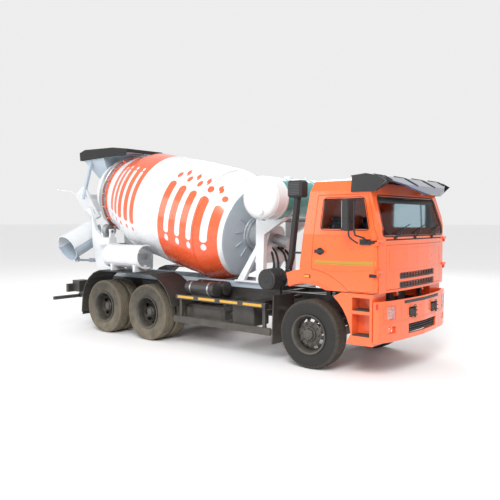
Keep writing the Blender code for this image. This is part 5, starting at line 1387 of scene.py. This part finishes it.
    def door(self, side: Side) -> None:
        """One door's window rubber, handle, tape, crease, hinges and mirror face.

        Args:
            side: The side of the truck.
        """
        body, view = f"door_{side.word}", View.of(side)
        skin = Skin(f"door_{side.word}", f"door_glass_{side.word}")
        shape = bmesh.new()
        skin.strip(shape, view, rounded_loop(self.window, 0.06), 0.015, 0.005, cyclic=True)
        skin.strip(shape, view, [(0.795, 2.19), (0.795, 2.62)], 0.010, 0.005)
        for z in (1.52, 2.0):
            place, out = skin.touch(view, (1.135, z))
            Bench.slab(shape, (-0.055, -0.022, -0.004), (0.055, 0.022, 0.022), 0.006, facing(out, place) @ Matrix.Rotation(0.0, 4, "Z"))
        Bench.ride(Bench.take(f"door_rubber_{side.word}", shape, FINISH.rubber, 50), body, FINISH.rubber)
        shape = bmesh.new()
        skin.strip(shape, view, [(0.150, 1.68), (0.72, 1.68), (1.16, 1.695)], 0.026, 0.0015, 0.0)
        Bench.ride(Bench.take(f"door_tape_{side.word}", shape, FINISH.door_tape, 60), body, FINISH.door_tape)
        shape = bmesh.new()
        skin.strip(shape, view, [(0.17, 2.085), (1.15, 2.085)], 0.010, 0.004)
        skin.strip(shape, view, [(0.16, 1.56), (0.70, 1.56), (1.10, 1.60)], 0.008, 0.003)
        Bench.ride(Bench.take(f"door_crease_{side.word}", shape, FINISH.cab, 60), body, FINISH.cab)
        shape = bmesh.new()
        place, out = skin.touch(view, (0.245, 1.845))
        turn = facing(out, place)
        Bench.lathe(shape, [(0.001, 0.0), (0.001, 0.040), (0.010, 0.046), (0.010, 0.052), (0.0, 0.056)], place, out, 24)
        Bench.slab(shape, (-0.025, -0.085, 0.020), (0.025, 0.085, 0.034), 0.008, turn @ Matrix.Rotation(math.radians(90), 4, "Z")
                   if abs(turn.col[1][2]) > 0.5 else turn)
        Bench.lathe(shape, [(0.0, 0.016), (0.026, 0.016), (0.026, 0.0)], place, out, 16)
        Bench.ride(Bench.take(f"door_handle_{side.word}", shape, FINISH.moulding, 40), body, FINISH.moulding)
        shape = bmesh.new()
        y = side.value
        for low, high, x in ((2.20, 2.585, 0.797),):
            Bench.slab(shape, tuple(LAYOUT.at(x - 0.004, y * 1.345, low)), tuple(LAYOUT.at(x + 0.002, y * 1.525, high)), 0.0)
        Bench.ride(Bench.take(f"mirror_face_{side.word}", shape, FINISH.mirror, 40), body, FINISH.mirror)
        shape = bmesh.new()
        for z in (2.18, 2.60):
            Bench.slab(shape, tuple(LAYOUT.at(0.795, y * 1.325, z - 0.012)), tuple(LAYOUT.at(0.905, y * 1.547, z + 0.012)), 0.008)
        Bench.hose(shape, [LAYOUT.at(0.86, y * 1.44, 2.16), LAYOUT.at(0.87, y * 1.43, 2.07), LAYOUT.at(0.93, y * 1.30, 1.98)], 0.011, 8, 5)
        Bench.ride(Bench.take(f"mirror_trim_{side.word}", shape, FINISH.moulding, 40), body, FINISH.moulding)


@dataclass
class BumperTrim:
    """Lamps, louvres, steps and towing forks at the front, all fixed to the chassis."""

    plan: tuple[Flat, ...] = ((0.0, 1.385), (0.5, 1.355), (0.94, 1.30), (1.20, 1.22), (1.22, 1.13))
    skin: Skin = field(default_factory=lambda: Skin("front_bumper"))

    def face_x(self, y: float) -> float:
        """The bumper's front face at a distance from the middle, from the front axle."""
        y = abs(y)
        for (y0, x0), (y1, x1) in zip(self.plan, self.plan[1:]):
            if y <= y1:
                return x0 + (x1 - x0) * (y - y0) / (y1 - y0)
        return self.plan[-1][1]

    def sheet(self, shape: bmesh.types.BMesh, low: Flat, high: Flat, back: float, thick: float, steps: int = 8) -> None:
        """Adds an upright sheet that follows the bumper's plan, a given way behind its face."""
        columns = []
        for k in range(steps + 1):
            y = low[0] + (high[0] - low[0]) * k / steps
            x = self.face_x(y) - back
            columns.append([shape.verts.new(LAYOUT.at(x - d, y, z)) for d, z in ((0, low[1]), (0, high[1]), (thick, high[1]), (thick, low[1]))])
        for one, two in zip(columns, columns[1:]):
            for i in range(4):
                n = (i + 1) % 4
                shape.faces.new((one[i], one[n], two[n], two[i]))
        shape.faces.new(columns[0])
        shape.faces.new(list(reversed(columns[-1])))

    def build(self) -> None:
        """Builds the trim."""
        for side in Side:
            self.lamps(side)
            self.steps(side)
        self.louvres()
        self.forks()

    def lamps(self, side: Side) -> None:
        """One side's headlamp pair, indicator, fog lamp and corner marker.

        Args:
            side: The side of the truck.
        """
        s = side.value
        bowl, dark, amber, lens = bmesh.new(), bmesh.new(), bmesh.new(), bmesh.new()
        y0, y1 = sorted((s * 0.862, s * 1.098))
        self.sheet(dark, (y0, 0.882), (y1, 1.068), 0.085, 0.01)
        for y, r in ((0.915, 0.052), (1.012, 0.056)):
            base = LAYOUT.at(self.face_x(y) - 0.078, s * y, 0.975)
            Bench.lathe(bowl, [(0.0, 0.0), (0.0, 0.012), (0.004, 0.022), (0.016, 0.038), (0.034, r - 0.006), (0.048, r), (0.050, r + 0.006),
                               (0.046, r + 0.006), (0.0, r)], base, Vector((1, 0, 0)), 28)
            Bench.lathe(bowl, [(0.0, 0.010), (0.024, 0.010), (0.032, 0.006), (0.032, 0.0)], base, Vector((1, 0, 0)), 12)
        y0, y1 = sorted((s * 1.066, s * 1.094))
        self.sheet(amber, (y0, 0.888), (y1, 1.062), 0.030, 0.02, 2)
        y0, y1 = sorted((s * 0.864, s * 1.096))
        self.sheet(lens, (y0, 0.884), (y1, 1.066), 0.004, 0.004)
        rim = bmesh.new()
        self.skin.strip(rim, View.FRONT, rounded_loop([(y0 - 0.006, 0.876), (y1 + 0.006, 0.876), (y1 + 0.006, 1.074), (y0 - 0.006, 1.074)], 0.01, 2), 0.006,
                        0.004, cyclic=True)
        y0, y1 = sorted((s * 0.842, s * 1.018))
        self.sheet(dark, (y0, 0.677), (y1, 0.773), 0.045, 0.02)
        base = LAYOUT.at(self.face_x(0.93) - 0.050, s * 0.93, 0.725)
        Bench.lathe(bowl, [(0.0, 0.0), (0.006, 0.030), (0.022, 0.038), (0.024, 0.044), (0.0, 0.044)], base, Vector((1, 0, 0)), 24)
        place, out = self.skin.touch(View.FRONT, (s * 1.205, 1.08))
        corner = bmesh.new()
        Bench.slab(corner, (-0.016, -0.040, -0.002), (0.016, 0.040, 0.020), 0.006, facing(out, place))
        for mesh, finish, word in ((bowl, FINISH.bright, "lamp_bowls"), (dark, FINISH.louvre, "lamp_backs"), (amber, FINISH.amber, "indicator"),
                                   (lens, FINISH.lens, "lamp_lens"), (rim, FINISH.cab, "lamp_rim"), (corner, FINISH.red, "corner_marker")):
            Bench.ride(Bench.take(f"{word}_{side.word}", mesh, finish, 35), "chassis", finish)

    def steps(self, side: Side) -> None:
        """Black treads with grip studs in the step recesses."""
        s = side.value
        parts = []
        for low, y_in in ((1.002, 1.0), (0.632, 1.02)):
            y0, y1 = sorted((s * y_in, s * 1.222))
            tread = bmesh.new()
            Bench.slab(tread, tuple(LAYOUT.at(0.806, y0, low)), tuple(LAYOUT.at(1.079, y1, low + 0.014)), 0.004)
            parts.append(Bench.take("step_tread", tread, FINISH.moulding, 40))
            for k in range(4):
                stud = bmesh.new()
                Bench.slab(stud, (-0.009, -0.003, 0.0), (0.009, 0.003, 0.005), 0.001)
                place = Matrix.Translation(LAYOUT.at(0.83, y0 + 0.035 + 0.048 * k, low + 0.013))
                parts.append(Repeater("step_studs", Pattern.ROW, 9, step=(0.028, 0.0, 0.0)).make(stud, FINISH.moulding, place))
        Bench.ride(join(f"step_treads_{side.word}", parts), "chassis", FINISH.moulding)

    def louvres(self) -> None:
        """The low air slot's mesh and the dark strip in the bumper's top edge."""
        parts = []
        back = bmesh.new()
        self.sheet(back, (-0.498, 0.628), (0.498, 0.768), 0.060, 0.012)
        for z in (0.665, 0.70, 0.735):
            self.sheet(back, (-0.498, z - 0.005), (0.498, z + 0.005), 0.022, 0.030)
        parts.append(Bench.take("bumper_mesh", back, FINISH.louvre, 40))
        bar = bmesh.new()
        Bench.slab(bar, (-0.012, -0.004, -0.068), (0.012, 0.004, 0.068), 0.002)
        place = Matrix.Translation(LAYOUT.at(1.318, -0.475, 0.698))
        parts.append(Repeater("bumper_bars", Pattern.ROW, 20, step=(0.0, 0.05, 0.0)).make(bar, FINISH.louvre, place))
        strip = bmesh.new()
        self.skin.strip(strip, View.FRONT, [(-0.62, 1.108), (0.62, 1.108)], 0.024, 0.004)
        self.skin.strip(strip, View.FRONT, [(-0.60, 1.108), (0.60, 1.108)], 0.006, 0.010)
        parts.append(Bench.take("bumper_strip", strip, FINISH.louvre, 40))
        Bench.ride(join("bumper_louvres", parts), "chassis", FINISH.louvre)
        seam = bmesh.new()
        for s in (-1, 1):
            self.skin.strip(seam, View.FRONT, [(s * 0.70, 0.57), (s * 0.70, 1.13)], 0.004, 0.001)
        self.skin.strip(seam, View.FRONT, [(-1.12, 0.835), (1.12, 0.835)], 0.010, 0.005)
        Bench.ride(Bench.take("bumper_crease", seam, FINISH.cab, 60), "chassis", FINISH.cab)

    def forks(self) -> None:
        """The two towing forks with their pins and loops."""
        shape = bmesh.new()
        for s in (-1, 1):
            for dz in (-0.040, 0.026):
                Bench.slab(shape, tuple(LAYOUT.at(1.17, s * 0.39 - 0.045, 0.935 + dz)), tuple(LAYOUT.at(1.43, s * 0.39 + 0.045, 0.949 + dz)), 0.006)
            Bench.slab(shape, tuple(LAYOUT.at(1.165, s * 0.39 - 0.10, 0.875)), tuple(LAYOUT.at(1.19, s * 0.39 + 0.10, 1.005)), 0.006)
            Bench.lathe(shape, [(-0.075, 0.0), (-0.075, 0.016), (0.070, 0.016), (0.072, 0.026), (0.084, 0.026), (0.086, 0.0)],
                        LAYOUT.at(1.405, s * 0.39, 0.94), Vector((0, 0, 1)), 16)
            loop = [LAYOUT.at(1.405, s * 0.39 + 0.028 * math.cos(a), 1.032 + 0.022 * math.sin(a)) for a in (math.tau * k / 10 for k in range(10))]
            Bench.hose(shape, loop + loop[:1], 0.005, 6, 2)
        Bench.ride(Bench.take("towing_forks", shape, FINISH.moulding, 40), "chassis", FINISH.moulding)


# ---------------------------------------------------------------- inside the cab
@dataclass(frozen=True)
class CabRoom:
    """The padded seats, the wheel and the dash."""

    def build(self) -> None:
        """Builds the interior."""
        for side in Side:
            self.seat(side)
        self.bases()
        self.wheel()
        self.dash()

    @staticmethod
    def pad(shape: bmesh.types.BMesh, low: Sequence[float], high: Sequence[float], turn: Matrix, ease: float = 0.05) -> None:
        """Adds a rounded cushion, in its own frame."""
        Bench.slab(shape, tuple(low), tuple(high), ease, turn)

    def seat(self, side: Side) -> None:
        """A sprung seat with bolsters, piping and a headrest.

        Args:
            side: The side of the cab.
        """
        mid = side.value * 0.50
        squab, back, piping = bmesh.new(), bmesh.new(), bmesh.new()
        flat = Matrix.Translation(LAYOUT.at(0.36, mid, 1.66))
        self.pad(squab, (-0.255, -0.175, -0.075), (0.255, 0.175, 0.070), flat, 0.045)
        for y in (-1, 1):
            self.pad(squab, tuple((-0.255, min(y * 0.165, y * 0.255), -0.07)), tuple((0.250, max(y * 0.165, y * 0.255), 0.078)), flat, 0.04)
        lean = Matrix.Translation(LAYOUT.at(0.155, mid, 2.0)) @ Matrix.Rotation(math.radians(-6), 4, "Y")
        self.pad(back, (-0.055, -0.170, -0.30), (0.060, 0.170, 0.285), lean, 0.045)
        for y in (-1, 1):
            self.pad(back, (-0.050, min(y * 0.160, y * 0.245), -0.29), (0.075, max(y * 0.160, y * 0.245), 0.26), lean, 0.04)
        self.pad(back, (-0.045, -0.125, 0.275), (0.050, 0.125, 0.375), lean, 0.035)
        for y in (-0.17, 0.17):
            Bench.hose(piping, [LAYOUT.at(0.60, mid + y, 1.725), LAYOUT.at(0.36, mid + y, 1.735), LAYOUT.at(0.13, mid + y, 1.73)], 0.006, 6, 3)
        Bench.ride(Bench.take(f"seat_piping_{side.word}", piping, FINISH.moulding, 50), "cab", FINISH.moulding)
        for word, shape in (("squab", squab), ("back", back)):
            made = Bench.take(f"seat_{word}_{side.word}", shape, FINISH.fabric, 70)
            Bench.ride(made, "cab", FINISH.fabric, ("cab_seats",))

    def bases(self) -> None:
        """The seat boxes."""
        shape = bmesh.new()
        for side in Side:
            mid = side.value * 0.50
            Bench.slab(shape, tuple(LAYOUT.at(0.13, mid - 0.22, 1.40)), tuple(LAYOUT.at(0.57, mid + 0.22, 1.60)), 0.015)
        Bench.ride(Bench.take("seat_boxes", shape, FINISH.moulding, 40), "cab", FINISH.moulding, ("cab_seats",))

    def wheel(self) -> None:
        """The steering wheel's rim, spokes and horn pad."""
        hub = LAYOUT.at(0.78, 0.50, 1.96)
        turn = facing(Vector((-0.55, 0, 0.83)).normalized(), hub)
        shape = bmesh.new()
        ring = [turn @ Vector((0.235 * math.cos(a), 0.235 * math.sin(a), 0.0)) for a in (math.tau * k / 28 for k in range(29))]
        Bench.hose(shape, ring, 0.015, 10, 2)
        for a in (math.radians(200), math.radians(340), math.radians(90), math.radians(270)):
            Bench.hose(shape, [turn @ Vector((0.05 * math.cos(a), 0.05 * math.sin(a), -0.02)),
                               turn @ Vector((0.225 * math.cos(a), 0.225 * math.sin(a), 0.0))], 0.014, 8, 2)
        Bench.slab(shape, (-0.075, -0.06, -0.035), (0.075, 0.06, 0.012), 0.02, turn)
        Bench.ride(Bench.take("steering_rim", shape, FINISH.moulding, 50), "cab", FINISH.moulding)

    def dash(self) -> None:
        """The instrument hood, vents and a row of switches."""
        shape = bmesh.new()
        Bench.slab(shape, tuple(LAYOUT.at(0.90, 0.24, 1.99)), tuple(LAYOUT.at(1.08, 0.76, 2.06)), 0.02)
        for y in (-0.85, -0.55, 0.0):
            Bench.slab(shape, tuple(LAYOUT.at(0.918, y - 0.07, 1.90)), tuple(LAYOUT.at(0.935, y + 0.07, 1.96)), 0.006)
        Bench.ride(Bench.take("instrument_hood", shape, FINISH.moulding, 40), "cab", FINISH.moulding)
        knob = bmesh.new()
        Bench.slab(knob, (-0.008, -0.013, -0.013), (0.006, 0.013, 0.013), 0.004)
        row = Repeater("dash_switches", Pattern.ROW, 6, step=(0.0, 0.045, 0.0)).make(knob, FINISH.trim, Matrix.Translation(LAYOUT.at(0.93, -0.15, 1.84)))
        Bench.ride(row, "cab", FINISH.trim)


# ---------------------------------------------------------------- chassis and mixer fittings
@dataclass(frozen=True)
class Fittings:
    """Straps, flaps, tapes, hoses, lamps and edges along the chassis."""

    def build(self) -> None:
        """Builds them all."""
        for side in Side:
            self.mudflaps(side)
            self.rear_lamps(side)
            self.deck_tape(side)
            self.bolts(side)
        self.air_cleaner()
        self.stack()
        self.straps()
        self.drive_hoses()
        self.discharge()

    def mudflaps(self, side: Side) -> None:
        """A rubber flap behind the last wheels."""
        s, shape = side.value, bmesh.new()
        for x, low, high, y0, y1 in ((-5.7815, 0.30, 0.66, 0.66, 1.22),):
            a, b = sorted((s * y0, s * y1))
            Bench.slab(shape, tuple(LAYOUT.at(x, a, low)), tuple(LAYOUT.at(x + 0.012, b, high)), 0.003)
            for k in range(5):
                y = s * (y0 + 0.06 + 0.11 * k)
                Bench.slab(shape, tuple(LAYOUT.at(x - 0.004, y - 0.02, low + 0.03)), tuple(LAYOUT.at(x + 0.002, y + 0.02, high - 0.06)), 0.001)
        Bench.ride(Bench.take(f"mudflap_{side.word}", shape, FINISH.rubber, 40), "chassis", FINISH.rubber)

    def rear_lamps(self, side: Side) -> None:
        """Three lenses on each rear lamp box."""
        s = side.value
        for word, y0, y1, finish in (("stop", 0.97, 1.105, FINISH.red), ("turn", 0.85, 0.955, FINISH.amber), ("reverse", 0.715, 0.835, FINISH.clear)):
            a, b = sorted((s * y0, s * y1))
            shape = bmesh.new()
            Bench.slab(shape, tuple(LAYOUT.at(-6.534, a, 0.745)), tuple(LAYOUT.at(-6.512, b, 0.875)), 0.010)
            Bench.ride(Bench.take(f"lamp_{word}_{side.word}", shape, finish, 40), "chassis", finish)

    def deck_tape(self, side: Side) -> None:
        """Amber marking tape along the side guard."""
        s, shape = side.value, bmesh.new()
        a, b = sorted((s * 1.2145, s * 1.2168))
        for k in range(4):
            x = -2.84 + 0.52 * k
            Bench.slab(shape, tuple(LAYOUT.at(x, a, 0.895)), tuple(LAYOUT.at(x + 0.40, b, 0.938)), 0.0)
        Bench.ride(Bench.take(f"guard_tape_{side.word}", shape, FINISH.tape, 40), "chassis", FINISH.tape)

    def bolts(self, side: Side) -> None:
        """Rows of flanged bolt heads along the outside of the chassis rail."""
        s = side.value
        rail = Skin("chassis_frame")
        parts = []
        for x in (-6.10, -4.55, -4.15, -2.60, -1.20):
            for z in (0.86, 0.98):
                place, out = rail.touch(View.of(side), (x, z))
                if abs(place.y) > 0.60:
                    continue
                head = bmesh.new()
                Bench.lathe(head, [(-0.002, 0.0), (-0.002, 0.021), (0.004, 0.021), (0.004, 0.014), (0.014, 0.014), (0.016, 0.011), (0.016, 0.0)],
                            Vector((0, 0, 0)), Vector((0, s, 0)), 8)
                parts.append(Repeater("rail_bolts", Pattern.ROW, 4, step=(0.09, 0.0, 0.0)).make(head, FINISH.chassis, Matrix.Translation(place)))
        if parts:
            Bench.ride(join(f"rail_bolts_{side.word}", parts), "chassis", FINISH.chassis)

    def air_cleaner(self) -> None:
        """Ribs round the air cleaner's canister, and a cap on its end."""
        shape = bmesh.new()
        for y in (-0.86, -0.93, -1.00, -1.07):
            Bench.lathe(shape, [(-0.008, 0.170), (-0.006, 0.181), (0.006, 0.181), (0.008, 0.170)], LAYOUT.at(-0.805, y, 1.345), Vector((0, 1, 0)), 40)
        Bench.lathe(shape, [(0.0, 0.0), (0.0, 0.150), (-0.010, 0.150), (-0.016, 0.130), (-0.016, 0.050), (-0.026, 0.040), (-0.026, 0.0)],
                    LAYOUT.at(-0.805, -1.198, 1.345), Vector((0, 1, 0)), 36)
        Bench.ride(Bench.take("air_cleaner_ribs", shape, FINISH.moulding, 40), "chassis", FINISH.moulding)

    def stack(self) -> None:
        """Louvres round the intake stack's head."""
        vane = bmesh.new()
        Bench.slab(vane, (-0.10, -0.003, -0.005), (0.10, 0.003, 0.005), 0.001)
        skin = Skin("intake_stack")
        place, _ = skin.touch(View.RIGHT, (-0.285, 2.72))
        rows = Repeater("stack_louvres", Pattern.ROW, 8, step=(0.0, 0.0, 0.025)).make(
            vane, FINISH.trim, Matrix.Translation(place - Vector((0, 0.001, 0))))
        Bench.ride(rows, "cab", FINISH.trim)

    def straps(self) -> None:
        """Bright straps round the fuel tank and the air tanks."""
        shape = bmesh.new()
        for y in (-0.90, -0.62):
            for x in (-2.72, -2.28):
                Bench.lathe(shape, [(-0.016, 0.128), (-0.016, 0.134), (0.016, 0.134), (0.016, 0.128)], LAYOUT.at(x, y, 1.06), Vector((1, 0, 0)), 32)
        Bench.ride(Bench.take("tank_straps", shape, FINISH.steel, 40), "chassis", FINISH.steel)

    def drive_hoses(self) -> None:
        """High-pressure hoses from the drum's gearbox down to the frame."""
        shape = bmesh.new()
        foot = LAYOUT.at(-1.55, 0.0, 1.75)
        for k, y in enumerate((-0.16, -0.08, 0.08, 0.16)):
            Bench.hose(shape, [foot + Vector((0.02 * k, y, 0.06)), foot + Vector((0.16, y * 1.5, -0.06)), LAYOUT.at(-1.34, y * 1.7, 1.42),
                               LAYOUT.at(-1.46, y * 1.8, 1.20)], 0.020, 10, 5)
        Bench.ride(Bench.take("drive_hoses", shape, FINISH.rubber, 60), "chassis", FINISH.rubber)

    def discharge(self) -> None:
        """The hopper's rubber lip beads."""
        shape = bmesh.new()
        for y in (-1, 1):
            a, b = sorted((y * 0.502, y * 0.514))
            Bench.slab(shape, tuple(LAYOUT.at(-6.80, a, 3.72)), tuple(LAYOUT.at(-5.14, b, 3.78)), 0.003)
        Bench.ride(Bench.take("hopper_lip_beads", shape, FINISH.rubber, 40), "chassis", FINISH.rubber)


# ---------------------------------------------------------------- studio
@dataclass
class Studio:
    """The pale floor, the soft lights and the camera."""

    lens: float = 43.44
    shift: Flat = (0.0058, 0.0008)
    stand: Place = (5.184, -8.933, 2.293)
    azimuth: float = math.radians(39.527)
    dip: float = math.radians(2.741)

    def build(self) -> None:
        """Builds the studio."""
        bpy.context.scene.view_settings.view_transform = "Standard"
        self.floor()
        self.lights()
        self.camera()

    def floor(self) -> None:
        """A pale floor that reaches past the horizon."""
        shape = bmesh.new()
        bmesh.ops.create_grid(shape, x_segments=2, y_segments=2, size=400.0)
        mesh = bpy.data.meshes.new("studio_floor")
        shape.to_mesh(mesh)
        shape.free()
        floor = bpy.data.objects.new("studio_floor", mesh)
        bpy.context.scene.collection.objects.link(floor)
        made = bpy.data.materials.new("studio_floor")
        made.use_nodes = True
        shader = made.node_tree.nodes["Principled BSDF"]
        shader.inputs["Base Color"].default_value = (0.92, 0.92, 0.92, 1.0)
        shader.inputs["Roughness"].default_value = 0.85
        mesh.materials.append(made)

    def lights(self) -> None:
        """A bright even sky, a large soft key from the front right and a weak fill."""
        world = bpy.data.worlds.new("studio_sky")
        world.use_nodes = True
        world.node_tree.nodes["Background"].inputs["Color"].default_value = (1.0, 1.0, 1.0, 1.0)
        world.node_tree.nodes["Background"].inputs["Strength"].default_value = 0.85
        bpy.context.scene.world = world
        for name, place, power, size in (("key", (9.0, -12.0, 11.0), 1900.0, 6.0), ("fill", (-9.0, -13.0, 6.0), 500.0, 8.0),
                                         ("back", (-6.0, 12.0, 10.0), 600.0, 8.0)):
            data = bpy.data.lights.new(name, "AREA")
            data.energy, data.size = power, size
            lamp = bpy.data.objects.new(name, data)
            lamp.location = place
            lamp.rotation_euler = (Vector((0.5, 0, 1.5)) - Vector(place)).to_track_quat("-Z", "Y").to_euler()
            bpy.context.scene.collection.objects.link(lamp)

    def camera(self) -> None:
        """The camera at a standing adult's height off the front right corner."""
        data = bpy.data.cameras.new("portrait")
        data.sensor_width, data.lens = 36.0, self.lens
        data.shift_x, data.shift_y = self.shift
        data.clip_end = 500.0
        camera = bpy.data.objects.new("portrait", data)
        camera.location = LAYOUT.at(*self.stand)
        camera.rotation_euler = (math.radians(90) - self.dip, 0.0, self.azimuth)
        bpy.context.scene.collection.objects.link(camera)
        bpy.context.scene.camera = camera


def dress_nodes() -> None:
    """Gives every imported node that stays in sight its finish."""
    Bench.dress(FINISH.cab, "front_bumper", "step_left", "step_right", "cab_shell", "front_panel", "door_left", "door_right")
    Bench.dress(FINISH.chassis, "chassis_frame", "front_axle", "middle_axle", "rear_axle", "bogie_springs", "knuckle_right", "knuckle_left",
                "fuel_tank", "air_tanks", "exhaust_silencer", "side_guard_left", "side_guard_right", "rear_underrun")
    Bench.dress(FINISH.casting, "engine")
    Bench.dress(FINISH.moulding, "battery_box", "air_cleaner", "rear_mudguard_left", "rear_mudguard_right", "steering_wheel", "mirror_left",
                "mirror_right", "intake_stack")
    Bench.dress(FINISH.frame_grey, "mixer_subframe", "feed_hopper", "access_ladder", "chute_swivel", "main_chute", "chute_jack_barrel")
    Bench.dress(FINISH.white, "front_pedestal", "rear_pedestal", "discharge_funnel", "extension_chute", "folding_chute")
    Bench.dress(FINISH.silver, "drum_gearbox")
    Bench.dress(FINISH.drum, "mixing_drum")
    Bench.dress(FINISH.tank, "water_tank")
    Bench.dress(FINISH.steel, "drum_roller_left", "drum_roller_right", "chute_jack_rod")
    Bench.dress(FINISH.rubber, "hopper_lip")
    Bench.dress(FINISH.glass, "windscreen", "door_glass_left", "door_glass_right")
    Bench.dress(FINISH.visor, "sun_visor")
    Bench.dress(FINISH.trim, "dashboard")
    Bench.dress(FINISH.fabric, "cab_seats")
    hub = LAYOUT.hub_height
    for side in Side:
        Bench.dress(FINISH.tyre((round(LAYOUT.axle_x, 4), hub), 0.0), f"front_wheel_{side.word}")
        for row, x in (("middle", LAYOUT.bogie_middle), ("rear", LAYOUT.bogie_rear)):
            Bench.dress(FINISH.tyre((round(LAYOUT.axle_x + x, 4), hub), 1.0), f"{row}_wheels_{side.word}")


def main() -> None:
    """Builds the truck's visible pieces and the studio."""
    logging.basicConfig(level=logging.WARNING, format="%(name)s %(levelname)s %(message)s")
    dress_nodes()
    MixingDrum().build()
    WaterTank().build()
    for side in Side:
        FrontWheel().build(side)
        TwinWheels().build("middle", LAYOUT.bogie_middle, side)
        TwinWheels().build("rear", LAYOUT.bogie_rear, side)
    CabTrim().build()
    BumperTrim().build()
    CabRoom().build()
    Fittings().build()
    Studio().build()
    LOG.info("%d pieces built", Bench.made)


if __name__ == "__main__":
    main()
